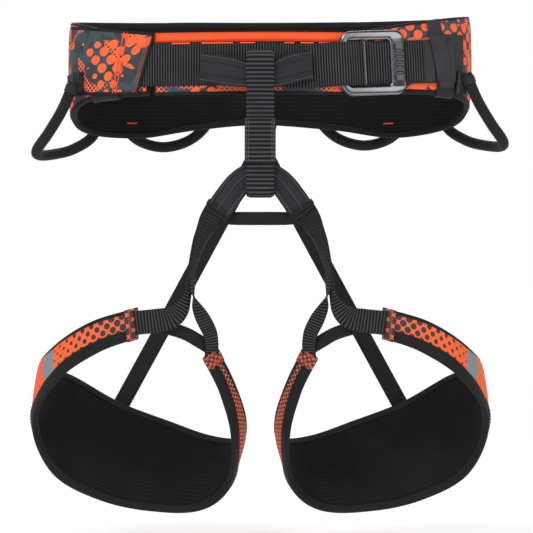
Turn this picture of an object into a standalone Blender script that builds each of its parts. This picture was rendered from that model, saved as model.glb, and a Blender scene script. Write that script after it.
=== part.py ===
"""A climbing harness: padded waist belt, tie-in loops, belay loop, leg loops, rear risers and gear loops.

Frame: metres, +Z up, -Y is the wearer's front, +X is the wearer's left.
The origin is the middle of the outer face of the patch on the belt's back. The shapes below are drawn in mm
about the middle of the belt, on the leg loops' plane of symmetry, and moved there by ORIGIN.
"""

import math

import bmesh
import bpy
from mathutils import Vector

MM = 0.001

# ---- driving dimensions (mm) ------------------------------------------------
BELT_X = 9.8              # the belt's own middle sits a little to the buckle side of the belay loop
FRONT_RADIUS = 450.0      # the belt's front and back are shallow arcs
HIP_RADIUS = 60.0         # and its sides are tight ones
ARC_ANGLE = math.radians(22.0)
WEBBING = 43.5            # width of the load-bearing waist webbing
WEBBING_Z = -6.0          # height of its middle
STRAP_TILT = math.radians(3.0)   # the buckle side of the webbing climbs towards the hip
STRAP_START_X = 40.0
STRAP_START_Z = -8.5
GAP = 0.3                 # air between neighbouring layers
EDGE_GAP = 0.6            # and between a pad and the binding round its edge

# Layers of the belt, as distances outwards from the seat of its webbing.
FACE = (-1.3, -0.3)
FOAM = (-7.1, -1.6)
LINING = (-8.4, -7.4)
BINDING = (-8.7, -0.1)
BINDING_WIDTH = 2.6
TONGUE = (-5.2, -0.3)
BASE_WEBBING = (0.0, 1.6)
STRAP = (2.0, 3.4)

# Layers of a leg pad, from its middle surface.
LEG_FACE = (2.7, 3.7)
LEG_FOAM = (-2.1, 2.4)
LEG_LINING = (-3.4, -2.4)
LEG_BINDING = (-3.7, 3.9)

BELAY_Y = -108.0          # plane in which the belay loop hangs
BELAY_TOP = 5.5
BELAY_BOTTOM = -140.0
BELAY_WIDTH = 27.5
BELAY_PLY = 3.4
BELAY_HALF_GAP = 10.0     # from the loop's mid-plane to the middle of a strand
TIE_IN_PLY = 3.2
SLEEVE_PLY = 1.2

BUCKLE_X = 112.0
BUCKLE_SIZE = 64.6
BUCKLE_PLATE = 2.6
RISER_WIDTH = 17.5
GEAR_LOOP_RADIUS = 5.5


PATCH_HEIGHT = 25.0       # of the middle of the patch on the belt's back
PATCH_FACE = 1.8          # its outer face, from the seat of the belt's webbing
ORIGIN = Vector((0.0, FRONT_RADIUS - (FRONT_RADIUS - HIP_RADIUS) * math.cos(ARC_ANGLE) + PATCH_FACE, PATCH_HEIGHT))


# ---- materials ----------------------------------------------------------------
def material(name, colour, roughness, metallic=0.0):
    made = bpy.data.materials.new(name)
    made.use_nodes = True
    shader = made.node_tree.nodes["Principled BSDF"]
    shader.inputs["Base Color"].default_value = (*colour, 1.0)
    shader.inputs["Roughness"].default_value = roughness
    shader.inputs["Metallic"].default_value = metallic
    return made


# ---- small vector helpers -------------------------------------------------------
def spline(points, samples):
    """Catmull-Rom through the points; each may be any tuple of numbers. Returns samples + 1 tuples."""
    ends = [points[0], *points, points[-1]]
    spans = len(points) - 1
    found = []
    for k in range(samples + 1):
        where = min(k / samples * spans, spans - 1e-9)
        i, f = int(where), where - int(where)
        a, b, c, d = (ends[i + j] for j in range(4))
        found.append(tuple(
            0.5 * (2 * q + (r - p) * f + (2 * p - 5 * q + 4 * r - s) * f**2 + (3 * q - p - 3 * r + s) * f**3)
            for p, q, r, s in zip(a, b, c, d)
        ))
    return found


def mirrored(points, about=0.0):
    return [(2 * about - p[0], *p[1:]) for p in points]


def mirrored_stations(stations):
    return [(-x, y, z, -a, b, c, w) for x, y, z, a, b, c, w in stations]


def both_halves(half):
    """Stations of a symmetric strap whose given half ends on the plane of symmetry."""
    return half + mirrored_stations(half[-2::-1])


# ---- solids -----------------------------------------------------------------------
def solid(name, made_of, sections, closed=False):
    """One closed mesh that joins each section (a ring of points in mm) to the next."""
    mesh = bmesh.new()
    rings = [[mesh.verts.new((Vector(p) - ORIGIN) * MM) for p in section] for section in sections]
    count = len(rings[0])
    pairs = zip(rings, rings[1:] + rings[:1]) if closed else zip(rings, rings[1:])
    for first, second in pairs:
        for i in range(count):
            j = (i + 1) % count
            mesh.faces.new((first[i], first[j], second[j], second[i]))
    if not closed:
        mesh.faces.new(rings[0][::-1])
        mesh.faces.new(rings[-1])
    bmesh.ops.recalc_face_normals(mesh, faces=mesh.faces)
    bmesh.ops.triangulate(mesh, faces=mesh.faces)
    data = bpy.data.meshes.new(name)
    mesh.to_mesh(data)
    mesh.free()
    data.materials.append(made_of)
    found = bpy.data.objects.new(name, data)
    bpy.context.scene.collection.objects.link(found)
    return found


def frames(stations, samples):
    """(middle, across, out, width) along a strap. A station is (x, y, z, width direction x, y, z, width)."""
    path = spline(stations, samples)
    found = []
    for k, now in enumerate(path):
        before, after = path[max(k - 1, 0)], path[min(k + 1, samples)]
        along = (Vector(after[:3]) - Vector(before[:3])).normalized()
        across = Vector(now[3:6])
        across = (across - along * across.dot(along)).normalized()
        found.append((Vector(now[:3]), across, along.cross(across), now[6]))
    return found


def strap(name, made_of, path, ply, lift=0.0, wider=0.0):
    """A flat strap along frames, lifted off their middle surface by lift."""
    sections = []
    for middle, across, out, width in path:
        half = (width + wider) / 2
        sections.append([
            middle + across * (half * a) + out * (lift + ply / 2 * b)
            for a, b in ((-1, -1), (1, -1), (1, 1), (-1, 1))
        ])
    return solid(name, made_of, sections)


def tube(name, made_of, points, radius, samples=16, sides=8):
    """A round bar along a path."""
    path = [Vector(p) for p in spline(points, samples)]
    sections = []
    side = Vector((0, 0, 1))
    for k, now in enumerate(path):
        along = (path[min(k + 1, samples)] - path[max(k - 1, 0)]).normalized()
        side = (side - along * side.dot(along)).normalized()
        other = along.cross(side)
        angles = [2 * math.pi * i / sides for i in range(sides)]
        sections.append([now + (side * math.cos(a) + other * math.sin(a)) * radius for a in angles])
    made = solid(name, made_of, sections)
    for face in made.data.polygons:
        face.use_smooth = True
    return made


def slab(name, made_of, surface, stations, layer, rows=3):
    """A layer of a pad. Each station is (u, low edge, high edge); surface(u, v, out) gives a point."""
    sections = []
    for u, low, high in stations:
        across = [low + (high - low) * i / rows for i in range(rows + 1)]
        sections.append(
            [surface(u, v, layer[0]) for v in across] + [surface(u, v, layer[1]) for v in reversed(across)]
        )
    return solid(name, made_of, sections)


def rim(name, made_of, surface, stations, layer, width=BINDING_WIDTH):
    """The edge binding that runs once round a pad laid on the belt."""
    (u0, low0, high0), (u1, low1, high1) = stations[0], stations[-1]
    step = 1 if u1 > u0 else -1
    loop = [(u, high, 0, 1) for u, low, high in stations]
    loop[0], loop[-1] = (u0, high0, -step, 1), (u1, high1, step, 1)
    back = [(u, low, 0, -1) for u, low, high in reversed(stations)]
    back[0], back[-1] = (u1, low1, step, -1), (u0, low0, -step, -1)
    sections = []
    for u, v, du, dv in loop + back:
        near, far = EDGE_GAP, EDGE_GAP + width
        sections.append([
            surface(u + du * reach, v + dv * reach, out)
            for reach, out in ((near, layer[0]), (far, layer[0]), (far, layer[1]), (near, layer[1]))
        ])
    return solid(name, made_of, sections, closed=True)


# ---- waist belt -----------------------------------------------------------------------
ARC_LENGTH = FRONT_RADIUS * ARC_ANGLE
HIP_LENGTH = HIP_RADIUS * (math.pi - 2 * ARC_ANGLE)
HALF_GIRTH = 2 * ARC_LENGTH + HIP_LENGTH
HIP_X = (FRONT_RADIUS - HIP_RADIUS) * math.sin(ARC_ANGLE)
ARC_CENTRE_Y = (FRONT_RADIUS - HIP_RADIUS) * math.cos(ARC_ANGLE)
FRONT_Y = ARC_CENTRE_Y - FRONT_RADIUS


def belt(along, height, out):
    """A point of the belt. along runs from 0 at the back's middle to +-HALF_GIRTH at the front's middle."""
    side = 1 if along >= 0 else -1
    s = abs(along)
    if s < ARC_LENGTH:
        angle = s / FRONT_RADIUS
        reach, centre = FRONT_RADIUS + out, Vector((0, -ARC_CENTRE_Y))
        heading = Vector((math.sin(angle), math.cos(angle)))
    elif s < ARC_LENGTH + HIP_LENGTH:
        angle = ARC_ANGLE + (s - ARC_LENGTH) / HIP_RADIUS
        reach, centre = HIP_RADIUS + out, Vector((HIP_X, 0))
        heading = Vector((math.sin(angle), math.cos(angle)))
    else:
        angle = (HALF_GIRTH - s) / FRONT_RADIUS
        reach, centre = FRONT_RADIUS + out, Vector((0, ARC_CENTRE_Y))
        heading = Vector((math.sin(angle), -math.cos(angle)))
    found = centre + heading * reach
    return Vector((BELT_X + side * found.x, found.y, height))


def along_at(x):
    """The distance along the belt at which its front arc has this x."""
    side = 1 if x > BELT_X else -1
    return side * (HALF_GIRTH - FRONT_RADIUS * math.asin(abs(x - BELT_X) / FRONT_RADIUS))


def front(x, height, out):
    """A point of the belt's front arc, which is carried on past its ends."""
    angle = math.asin((x - BELT_X) / FRONT_RADIUS)
    reach = FRONT_RADIUS + out
    return Vector((BELT_X + reach * math.sin(angle), ARC_CENTRE_Y - reach * math.cos(angle), height))


def band(start, end, count, middle, width):
    """Stations of a band, its middle's height and its width being functions of u."""
    found = []
    for i in range(count + 1):
        u = start + (end - start) * i / count
        found.append((u, middle(u) - width(u) / 2, middle(u) + width(u) / 2))
    return found


def pad_stations():
    """(along, low edge, high edge) of the main pad, from its left front end round the back to its right one."""
    hip_front = ARC_LENGTH + HIP_LENGTH * 0.80
    hip_middle = ARC_LENGTH + HIP_LENGTH * 0.50
    hip_back = ARC_LENGTH + HIP_LENGTH * 0.20
    outline = [
        (along_at(-112), -36.0, 26.0),
        (along_at(-150), -37.5, 29.0),
        (-hip_front, -42.0, 36.0),
        (-hip_middle, -56.0, 42.0),
        (-hip_back, -69.0, 46.0),
        (-140.0, -72.0, 48.0),
        (-80.0, -63.0, 49.5),
        (-10.0, -57.0, 50.0),
        (70.0, -63.0, 50.0),
        (135.0, -71.5, 50.0),
        (hip_back, -62.0, 50.0),
        (hip_middle, -46.0, 48.0),
        (hip_front, -36.0, 44.0),
        (along_at(155), -34.0, 37.0),
        (along_at(98), -35.5, 26.0),
    ]
    return spline(outline, 42)


def strap_height(x):
    """Height of the middle of the buckle side's webbing."""
    return STRAP_START_Z + (x - STRAP_START_X) * math.tan(STRAP_TILT)


def base_height(x):
    return strap_height(x) if x > STRAP_START_X else WEBBING_Z - max(0.0, x) * 0.0625


def waist_belt(fabric, mesh_fabric, foam, tape, webbing, trim):
    stations = pad_stations()
    slab("waist_lining", mesh_fabric, belt, stations, LINING)
    slab("waist_foam", foam, belt, stations, FOAM)
    slab("waist_face", fabric, belt, stations, FACE)
    rim("waist_binding", tape, belt, stations, BINDING)

    tongue = band(-107.5, 91.0, 10, lambda x: -10.9, lambda x: 50.0)
    slab("front_tongue", fabric, front, tongue, TONGUE, rows=2)
    roll = band(-107.5, 91.0, 10, lambda x: 20.9, lambda x: 9.0)
    slab("front_trim", trim, front, roll, (-5.2, 0.6), rows=2)

    slab("waist_webbing", webbing, front, band(-150.0, 76.0, 12, base_height, lambda x: WEBBING), BASE_WEBBING, rows=1)
    anchor = band(88.0, 170.0, 5, strap_height, lambda x: WEBBING)
    slab("buckle_anchor_webbing", webbing, front, anchor, BASE_WEBBING, rows=1)

    # The cover panel wraps the left hip; its front edge slants.
    first, last = along_at(-113.0), along_at(-113.0) + 92.0

    def cover(along, height, out):
        slant = 0.30 * height * (last - along) / (last - first)
        return belt(along - slant, height, out)

    panel = band(first, last, 9, lambda u: -5.5 + 0.07 * (u - first), lambda u: 62.0 + 0.10 * (u - first))
    slab("left_cover_panel", fabric, cover, panel, (2.0, 3.0), rows=3)


def front_strap(webbing, elastic):
    """The strap comes out from under the tie-in loop, climbs over the buckle and dives behind its bar."""
    climb = [(43, 2.7), (58, 2.7), (66, 4.0), (75, 7.2), (85, 8.2), (92, 6.4), (97, 5.4), (101, 5.2)]
    rows = []
    for x, out in climb:
        point = front(x, strap_height(x), out)
        rows.append((*point, -math.sin(STRAP_TILT), 0, math.cos(STRAP_TILT), WEBBING))
    strap("front_strap", webbing, frames(rows, 21), 1.4)
    tail = band(104.5, 194.0, 8, strap_height, lambda x: WEBBING)
    slab("strap_tail", webbing, front, tail, STRAP, rows=1)

    # An elastic keeper, open at its back, holds the tail down on the belt.
    profile = [
        (0.3, 27.5), (5.6, 27.5), (5.6, -27.5), (0.3, -27.5),
        (0.3, -25.8), (4.4, -25.8), (4.4, 25.8), (0.3, 25.8),
    ]
    sections = []
    for i in range(5):
        x = 170.5 + i * 3.8
        along = HALF_GIRTH - FRONT_RADIUS * math.asin((x - BELT_X) / FRONT_RADIUS)
        sections.append([belt(along, strap_height(x) + z, out) for out, z in profile])
    solid("strap_keeper", elastic, sections)


# ---- buckle ---------------------------------------------------------------------------
def buckle_point(right, up, out):
    """A point of the buckle: right and up from its middle, out from the belt. Its right side stands prouder."""
    x = BUCKLE_X + right * math.cos(STRAP_TILT) - up * math.sin(STRAP_TILT)
    z = strap_height(BUCKLE_X) + right * math.sin(STRAP_TILT) + up * math.cos(STRAP_TILT)
    return front(x, z, out)


def rounded(left, right, bottom, top, radius, steps=3):
    """A ring of points round a rectangle with round corners, starting at the right of its top."""
    found = []
    corners = ((right, top, 0), (left, top, 90), (left, bottom, 180), (right, bottom, 270))
    for x, y, start in corners:
        cx = x - radius if x == right else x + radius
        cy = y - radius if y == top else y + radius
        for i in range(steps + 1):
            angle = math.radians(start + 90 * i / steps)
            found.append((cx + radius * math.cos(angle), cy + radius * math.sin(angle)))
    return found


def buckle(metal):
    """A plate with a window, whose left limb is behind the strap, and a bar that pinches the strap."""
    half = BUCKLE_SIZE / 2
    outer = rounded(-half, half, -half, half, 10.0)
    window = rounded(-half + 7.0, half - 15.5, -half + 9.5, half - 9.5, 3.5)
    sections = []
    for (a, b), (c, d) in zip(outer, window):
        sections.append([
            buckle_point(right, up, low + thick)
            for right, up, thick in ((c, d, 0), (a, b, 0), (a, b, BUCKLE_PLATE), (c, d, BUCKLE_PLATE))
            for low in (3.9,)
        ])
    solid("buckle_frame", metal, sections, closed=True)
    bar = [(-11.0, 22.2), (-8.0, 22.2), (-8.0, -22.2), (-11.0, -22.2)]
    solid("buckle_locking_bar", metal, [[buckle_point(r, u, out) for r, u in bar] for out in (6.3, 8.6)])


# ---- tie-in loops and belay loop ----------------------------------------------------------
def webbing_ring(name, made_of, y, top, bottom, width, ply, half_gap, steps=8):
    """A closed loop of webbing hanging in a plane that faces the side."""
    radius = half_gap
    sections = []
    for centre_z, start in ((top - ply / 2 - radius, 0.0), (bottom + ply / 2 + radius, math.pi)):
        for i in range(steps + 1):
            angle = start + math.pi * i / steps
            out = Vector((0, math.cos(angle), math.sin(angle)))
            middle = Vector((0, y, centre_z)) + out * radius
            sections.append([
                middle + Vector((width / 2 * a, 0, 0)) + out * (ply / 2 * b)
                for a, b in ((-1, -1), (1, -1), (1, 1), (-1, 1))
            ])
    return solid(name, made_of, sections, closed=True)


def belay_loop(webbing, sleeve):
    webbing_ring(
        "belay_loop", webbing, BELAY_Y, BELAY_TOP, BELAY_BOTTOM, BELAY_WIDTH, BELAY_PLY, BELAY_HALF_GAP
    )
    front_y = BELAY_Y - BELAY_HALF_GAP - BELAY_PLY / 2 - GAP - 0.8
    cover = [(0, front_y, z, 1, 0, 0, 30.5) for z in (-62.5, -85.0, -107.0)]
    strap("belay_loop_cover", sleeve, frames(cover, 2), 1.6)


def upper_tie_in(webbing, sleeve):
    """A loop of webbing sewn to the belt at both ends; the belay loop hangs over its middle."""
    left = [
        (-59.0, FRONT_Y - 5.6, -10.5, 0, 0, 1, 27.0),
        (-50.0, FRONT_Y - 7.2, -11.5, 0, 0, 1, 27.0),
        (-30.0, BELAY_Y + 5.0, -15.0, 0, 0, 1, 27.0),
        (-15.0, BELAY_Y + 1.0, -18.2, 0, 0, 1, 24.0),
        (0.0, BELAY_Y, -19.0, 0, 0, 1, 20.0),
    ]
    right = [(-x - 8.0 * (x < -40), y, z + 2.5 * (x < -20), a, b, c, w) for x, y, z, a, b, c, w in left[-2::-1]]
    path = frames(left + right, 32)
    strap("upper_tie_in_loop", webbing, path, TIE_IN_PLY)
    lift = TIE_IN_PLY / 2 + GAP + SLEEVE_PLY / 2
    for name, part in (("left", path[:12]), ("right", path[-12:])):
        strap("upper_tie_in_sleeve_" + name, sleeve, part, SLEEVE_PLY, lift=front_side(part) * lift, wider=1.6)


def front_side(path):
    """1 where a path's outward direction faces the front, else -1."""
    return 1 if path[len(path) // 2][2].y < 0 else -1


ARCH = [
    (-43.5, BELAY_Y + 6.0, -155.5, -0.85, 0, 0.53, 24.0),
    (-33.4, BELAY_Y + 3.5, -141.6, -0.78, 0, 0.62, 24.6),
    (-22.5, BELAY_Y + 1.4, -127.5, -0.62, 0, 0.78, 24.0),
    (-11.0, BELAY_Y + 0.2, -119.0, -0.35, 0, 0.94, 23.5),
    (0.0, BELAY_Y, -116.3, 0, 0, 1, 23.0),
]


def lower_tie_in(webbing, sleeve, tape):
    path = frames(both_halves(ARCH), 28)
    strap("lower_tie_in_loop", webbing, path, TIE_IN_PLY)
    lift = TIE_IN_PLY / 2 + GAP + SLEEVE_PLY / 2
    for name, part in (("left", path[1:7]), ("right", path[-7:-1])):
        strap("lower_tie_in_sleeve_" + name, sleeve, part, SLEEVE_PLY, lift=front_side(part) * lift, wider=1.6)
    half = [(x, BELAY_Y + 10.5, -160.4, 0, 0, 1, w) for x, w in ((-35.0, 11.5), (-24.0, 13.0), (0.0, 13.2))]
    strap("bridge_strap", tape, frames(both_halves(half), 8), 2.4)


# ---- leg loops (the left one; the right one is its mirror) ----------------------------------
# Edges of the pad from its lateral arm round the back to its medial arm.
HIP_EDGE = [
    (-122.0, -82.0, -250.0),
    (-168.8, -73.0, -264.0),
    (-208.0, -40.0, -289.0),
    (-223.0, 8.0, -309.0),
    (-196.0, 58.0, -325.0),
    (-150.0, 80.0, -353.0),
    (-98.0, 82.0, -373.0),
    (-54.0, 66.0, -387.0),
    (-22.0, 34.0, -387.0),
    (-16.0, -6.0, -364.0),
    (-27.0, -42.0, -326.0),
    (-44.0, -64.0, -290.0),
]
KNEE_EDGE = [
    (-122.0, -78.0, -279.0),
    (-161.8, -73.0, -293.0),
    (-204.0, -56.0, -322.0),
    (-232.0, -20.0, -368.0),
    (-214.0, 12.0, -421.0),
    (-168.0, 34.0, -450.0),
    (-112.0, 42.0, -463.0),
    (-62.0, 30.0, -460.0),
    (-33.0, 4.0, -434.0),
    (-28.0, -28.0, -386.0),
    (-40.0, -54.0, -336.0),
    (-57.0, -68.0, -300.0),
]
LEG_SAMPLES = 28
LEG_HEART = Vector((-125.0, 0.0, -365.0))   # a point inside the loop, to tell outwards from inwards


class LegSurface:
    """A ruled surface between the hip edge and the knee edge. u is a station number and v is 0 to 1 across."""

    def __init__(self, side):
        flip = -side
        self.hip = [Vector((p[0] * flip, p[1], p[2])) for p in spline(HIP_EDGE, LEG_SAMPLES)]
        self.knee = [Vector((p[0] * flip, p[1], p[2])) for p in spline(KNEE_EDGE, LEG_SAMPLES)]
        self.heart = Vector((LEG_HEART.x * flip, LEG_HEART.y, LEG_HEART.z))

    def frame(self, i):
        before, after = max(i - 1, 0), min(i + 1, LEG_SAMPLES)
        middle = (self.hip[i] + self.knee[i]) / 2
        along = (self.hip[after] + self.knee[after] - self.hip[before] - self.knee[before]).normalized()
        across = self.hip[i] - self.knee[i]
        out = along.cross(across).normalized()
        if out.dot(middle - self.heart) < 0:
            out = -out
        return along, across, out

    def __call__(self, u, v, out):
        i = round(u)
        along, across, away = self.frame(i)
        return self.knee[i] + across * v + away * out


def leg_rim(name, made_of, surface):
    """The binding round a leg pad, whose width is in mm although the surface's v is a share."""
    last = LEG_SAMPLES
    order = [(i, 1) for i in range(last + 1)] + [(i, 0) for i in range(last, -1, -1)]
    sections = []
    for i, v in order:
        along, across, _ = surface.frame(i)
        end = {0: -1, last: 1}.get(i, 0)
        points = []
        for far, out in ((0, LEG_BINDING[0]), (1, LEG_BINDING[0]), (1, LEG_BINDING[1]), (0, LEG_BINDING[1])):
            reach = EDGE_GAP + far * BINDING_WIDTH
            share = reach / across.length
            points.append(surface(i, v + (share if v else -share), out) + along * end * reach)
        sections.append(points)
    solid(name, made_of, sections, closed=True)


RISER = [
    (-52.5, BELAY_Y + 8.5, -166.0, -0.70, -0.40, 0.30, 22.0),
    (-60.5, BELAY_Y + 11.0, -184.0, -0.60, -0.75, 0.1, 20.0),
    (-67.0, BELAY_Y + 13.0, -207.0, -0.45, -0.9, 0, 18.0),
    (-70.0, BELAY_Y + 14.0, -225.0, -0.35, -0.95, 0, 16.0),
]
LATERAL = [
    (-71.0, BELAY_Y + 13.5, -231.0, -0.35, -0.9, 0.1, 16.0),
    (-77.0, BELAY_Y + 13.0, -248.0, -0.35, -0.6, 0.7, 19.0),
    (-88.0, BELAY_Y + 16.0, -258.5, -0.1, -0.3, 0.95, 22.5),
    (-103.0, BELAY_Y + 20.0, -262.0, 0, -0.1, 1, 24.0),
    (-117.0, BELAY_Y + 22.5, -263.5, 0, -0.05, 1, 24.0),
]
MEDIAL = [
    (-67.4, BELAY_Y + 15.5, -231.5, -0.3, -0.95, 0, 14.0),
    (-63.0, BELAY_Y + 18.0, -247.0, 0.5, -0.7, 0.3, 15.0),
    (-56.5, BELAY_Y + 23.0, -261.0, 0.8, -0.3, 0.45, 15.5),
    (-50.5, BELAY_Y + 31.0, -274.0, 0.9, 0.1, 0.25, 14.5),
    (-48.5, BELAY_Y + 37.0, -284.0, 0.9, 0.1, 0.2, 13.5),
]
CROSS = [
    (-110.0, BELAY_Y + 31.0, -266.0, 0, -0.1, 1, 13.0),
    (-91.3, BELAY_Y + 27.0, -269.7, 0.1, -0.1, 1, 13.4),
    (-74.4, BELAY_Y + 29.0, -275.7, 0.35, -0.1, 0.95, 13.4),
    (-59.5, BELAY_Y + 37.0, -283.5, 0.5, 0, 0.85, 13.4),
]
REAR_RISER = [
    (-160.0, 86.5, -376.0, 0.88, 0.05, -0.47, RISER_WIDTH),
    (-147.0, 92.0, -352.0, 0.88, 0, -0.47, RISER_WIDTH),
    (-80.0, 94.0, -229.0, 0.88, 0, -0.47, RISER_WIDTH),
    (-16.5, 92.0, -112.0, 0.88, 0, -0.47, RISER_WIDTH),
]


def leg_loop(side, name, fabric, mesh_fabric, foam, tape, webbing, elastic, plastic):
    turn = mirrored_stations if side > 0 else list
    surface = LegSurface(side)
    stations = [(i, 0, 1) for i in range(LEG_SAMPLES + 1)]
    slab(name + "_leg_lining", mesh_fabric, surface, stations, LEG_LINING)
    slab(name + "_leg_foam", foam, surface, stations, LEG_FOAM)
    slab(name + "_leg_face", fabric, surface, stations, LEG_FACE)
    leg_rim(name + "_leg_binding", tape, surface)

    # The webbing leaves the lower tie-in loop edge-on and splits in two above the pad.
    strap(name + "_leg_riser_webbing", webbing, frames(turn(RISER), 8), 2.6)
    strap(name + "_leg_lateral_strap", webbing, frames(turn(LATERAL), 12), 1.8)
    strap(name + "_leg_medial_strap", webbing, frames(turn(MEDIAL), 12), 1.8)
    strap(name + "_leg_cross_strap", elastic, frames(turn(CROSS), 8), 1.6)
    strap(name + "_rear_riser", elastic, frames(turn(REAR_RISER), 8), 1.5)
    adjuster(name + "_riser_adjuster", plastic, side)


def adjuster(name, plastic, side):
    """A slide that joins the rear riser to the back of the leg pad."""
    middle = Vector((-163.5, 83.5, -384.0))
    right = Vector((0.88, 0.02, -0.47))
    up = Vector((0.46, 0.2, 0.86)).normalized()
    out = right.cross(up).normalized()
    if out.y < 0:
        out = -out
    sections = []
    for (a, b), (c, d) in zip(rounded(-12.0, 12.0, -7.0, 7.0, 2.0, 1), rounded(-9.6, 9.6, -4.6, 4.6, 1.0, 1)):
        ring = []
        for r, u, o in ((c, d, 0), (a, b, 0), (a, b, 2.4), (c, d, 2.4)):
            p = middle + right * r + up * u + out * o
            ring.append(Vector((p.x * -side, p.y, p.z)))
        sections.append(ring)
    solid(name, plastic, sections, closed=True)


# ---- gear loops and the back of the belt --------------------------------------------------
FRONT_GEAR_LOOP = [
    (-188.6, -48.4, -22.0), (-200.0, -43.0, -48.0), (-215.0, -30.0, -71.0), (-229.0, -10.0, -88.0),
    (-228.0, 6.0, -93.0), (-214.0, 28.0, -91.0), (-196.0, 45.0, -85.0), (-177.0, 58.5, -71.0),
    (-170.0, 59.0, -50.0), (-170.0, 59.0, -36.0),
]
REAR_GEAR_LOOP = [
    (-148.0, 68.0, -36.0), (-145.0, 72.0, -57.0), (-130.0, 80.0, -74.0), (-104.0, 87.0, -81.0),
    (-77.0, 91.0, -74.0), (-58.0, 92.5, -57.0), (-53.0, 90.8, -36.0),
]


def back_of_belt(plastic, webbing, patch, elastic):
    for side, name in ((-1, "left"), (1, "right")):
        front_loop, rear_loop = FRONT_GEAR_LOOP, REAR_GEAR_LOOP
        if side > 0:
            front_loop = [(x, y, z + 9.0) for x, y, z in mirrored(front_loop, BELT_X)]
            rear_loop = [(x, y + 4.0, z + 2.0) for x, y, z in mirrored(rear_loop, 3.5)]
        tube(name + "_front_gear_loop", plastic, front_loop, GEAR_LOOP_RADIUS)
        tube(name + "_rear_gear_loop", plastic, rear_loop, GEAR_LOOP_RADIUS)
        strip = [(u, -28.0, -12.0) for u, _, _ in pad_stations() if 42 < side * u < HALF_GIRTH - 205]
        slab(name + "_gear_loop_anchor", webbing, belt, strip, (0.0, 1.4), rows=1)

    riser_top = [
        (-15.9, 92.0, -110.8, 0.88, 0, -0.47, RISER_WIDTH),
        (-6.0, 91.0, -91.0, 0.88, 0, -0.47, RISER_WIDTH),
        (4.0, 89.8, -72.0, 0.90, 0, -0.43, RISER_WIDTH),
        (8.5, 89.6, -55.0, 1.0, 0, 0, RISER_WIDTH),
        (8.5, 89.6, -32.0, 1.0, 0, 0, RISER_WIDTH),
    ]
    strap("left_riser_top", elastic, frames(riser_top, 10), 1.5)
    over = [(x, y + 2.4 * (z > -100), z, a, b, c, w) for x, y, z, a, b, c, w in mirrored_stations(riser_top)]
    strap("right_riser_top", elastic, frames(over, 10), 1.5)

    corners = ((-22.0, -15.0), (22.0, -15.0), (22.0, 15.0), (-22.0, 15.0))
    sections = [[ORIGIN + Vector((x, y, z)) for x, z in corners] for y in (-1.4, 0.0)]
    solid("back_patch", patch, sections)

    ring_y = -FRONT_Y + 9.0
    webbing_ring("haul_loop", webbing, ring_y, 4.0, -26.0, 12.0, 1.8, 5.0, steps=6)
    seat = -FRONT_Y + 1.0
    half = [
        (x, y, -1.9, 0, 0, 1, 5.0)
        for x, y in ((-21.0, seat), (-15.0, seat + 0.2), (-8.5, ring_y - 1.0), (0.0, ring_y))
    ]
    strap("haul_loop_tab", webbing, frames(both_halves(half), 18), 1.4)


def main():
    for old in list(bpy.data.objects):
        bpy.data.objects.remove(old)
    black_webbing = material("black_webbing", (0.015, 0.015, 0.016), 0.75)
    printed = material("printed_fabric", (0.9, 0.16, 0.04), 0.7)
    trim = material("orange_trim", (0.95, 0.12, 0.02), 0.55)
    mesh_fabric = material("mesh_fabric", (0.01, 0.01, 0.011), 0.9)
    foam = material("foam", (0.06, 0.06, 0.06), 0.95)
    tape = material("edge_tape", (0.012, 0.012, 0.013), 0.7)
    sleeve = material("wear_sleeve", (0.02, 0.02, 0.022), 0.6)
    elastic = material("elastic", (0.018, 0.018, 0.019), 0.8)
    metal = material("aluminium", (0.72, 0.73, 0.75), 0.3, 1.0)
    plastic = material("black_plastic", (0.013, 0.013, 0.014), 0.5)

    waist_belt(printed, mesh_fabric, foam, tape, black_webbing, trim)
    front_strap(black_webbing, elastic)
    buckle(metal)
    back_of_belt(plastic, black_webbing, sleeve, elastic)
    upper_tie_in(black_webbing, sleeve)
    belay_loop(black_webbing, sleeve)
    lower_tie_in(black_webbing, sleeve, black_webbing)
    for side, name in ((-1, "left"), (1, "right")):
        leg_loop(side, name, printed, mesh_fabric, foam, tape, black_webbing, elastic, plastic)


main()
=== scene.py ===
"""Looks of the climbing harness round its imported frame: cloth, webbing, stitching, buckle and studio."""

import copy
import math

import bmesh
import bpy
import numpy as np
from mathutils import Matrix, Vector

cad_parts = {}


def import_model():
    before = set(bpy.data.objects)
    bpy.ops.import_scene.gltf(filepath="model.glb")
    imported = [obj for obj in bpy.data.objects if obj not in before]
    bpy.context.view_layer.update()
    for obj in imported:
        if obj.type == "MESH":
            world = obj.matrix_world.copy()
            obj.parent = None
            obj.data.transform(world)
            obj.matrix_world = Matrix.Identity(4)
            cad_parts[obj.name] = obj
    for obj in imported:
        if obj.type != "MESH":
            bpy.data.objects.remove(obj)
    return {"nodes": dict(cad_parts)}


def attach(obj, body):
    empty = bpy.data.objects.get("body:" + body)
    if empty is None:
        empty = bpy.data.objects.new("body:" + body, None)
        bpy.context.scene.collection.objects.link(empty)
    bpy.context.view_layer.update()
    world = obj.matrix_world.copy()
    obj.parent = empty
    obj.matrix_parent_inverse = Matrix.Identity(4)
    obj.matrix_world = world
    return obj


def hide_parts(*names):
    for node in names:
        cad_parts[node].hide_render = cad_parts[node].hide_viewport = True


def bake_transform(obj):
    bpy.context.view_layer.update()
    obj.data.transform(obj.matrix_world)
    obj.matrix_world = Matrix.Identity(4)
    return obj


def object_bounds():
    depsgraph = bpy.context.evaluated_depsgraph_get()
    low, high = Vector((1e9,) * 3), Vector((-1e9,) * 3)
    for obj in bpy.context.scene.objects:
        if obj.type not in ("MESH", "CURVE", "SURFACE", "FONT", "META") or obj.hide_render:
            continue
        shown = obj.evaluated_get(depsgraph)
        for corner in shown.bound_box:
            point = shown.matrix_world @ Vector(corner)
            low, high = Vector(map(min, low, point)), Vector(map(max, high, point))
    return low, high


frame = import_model()
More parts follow.
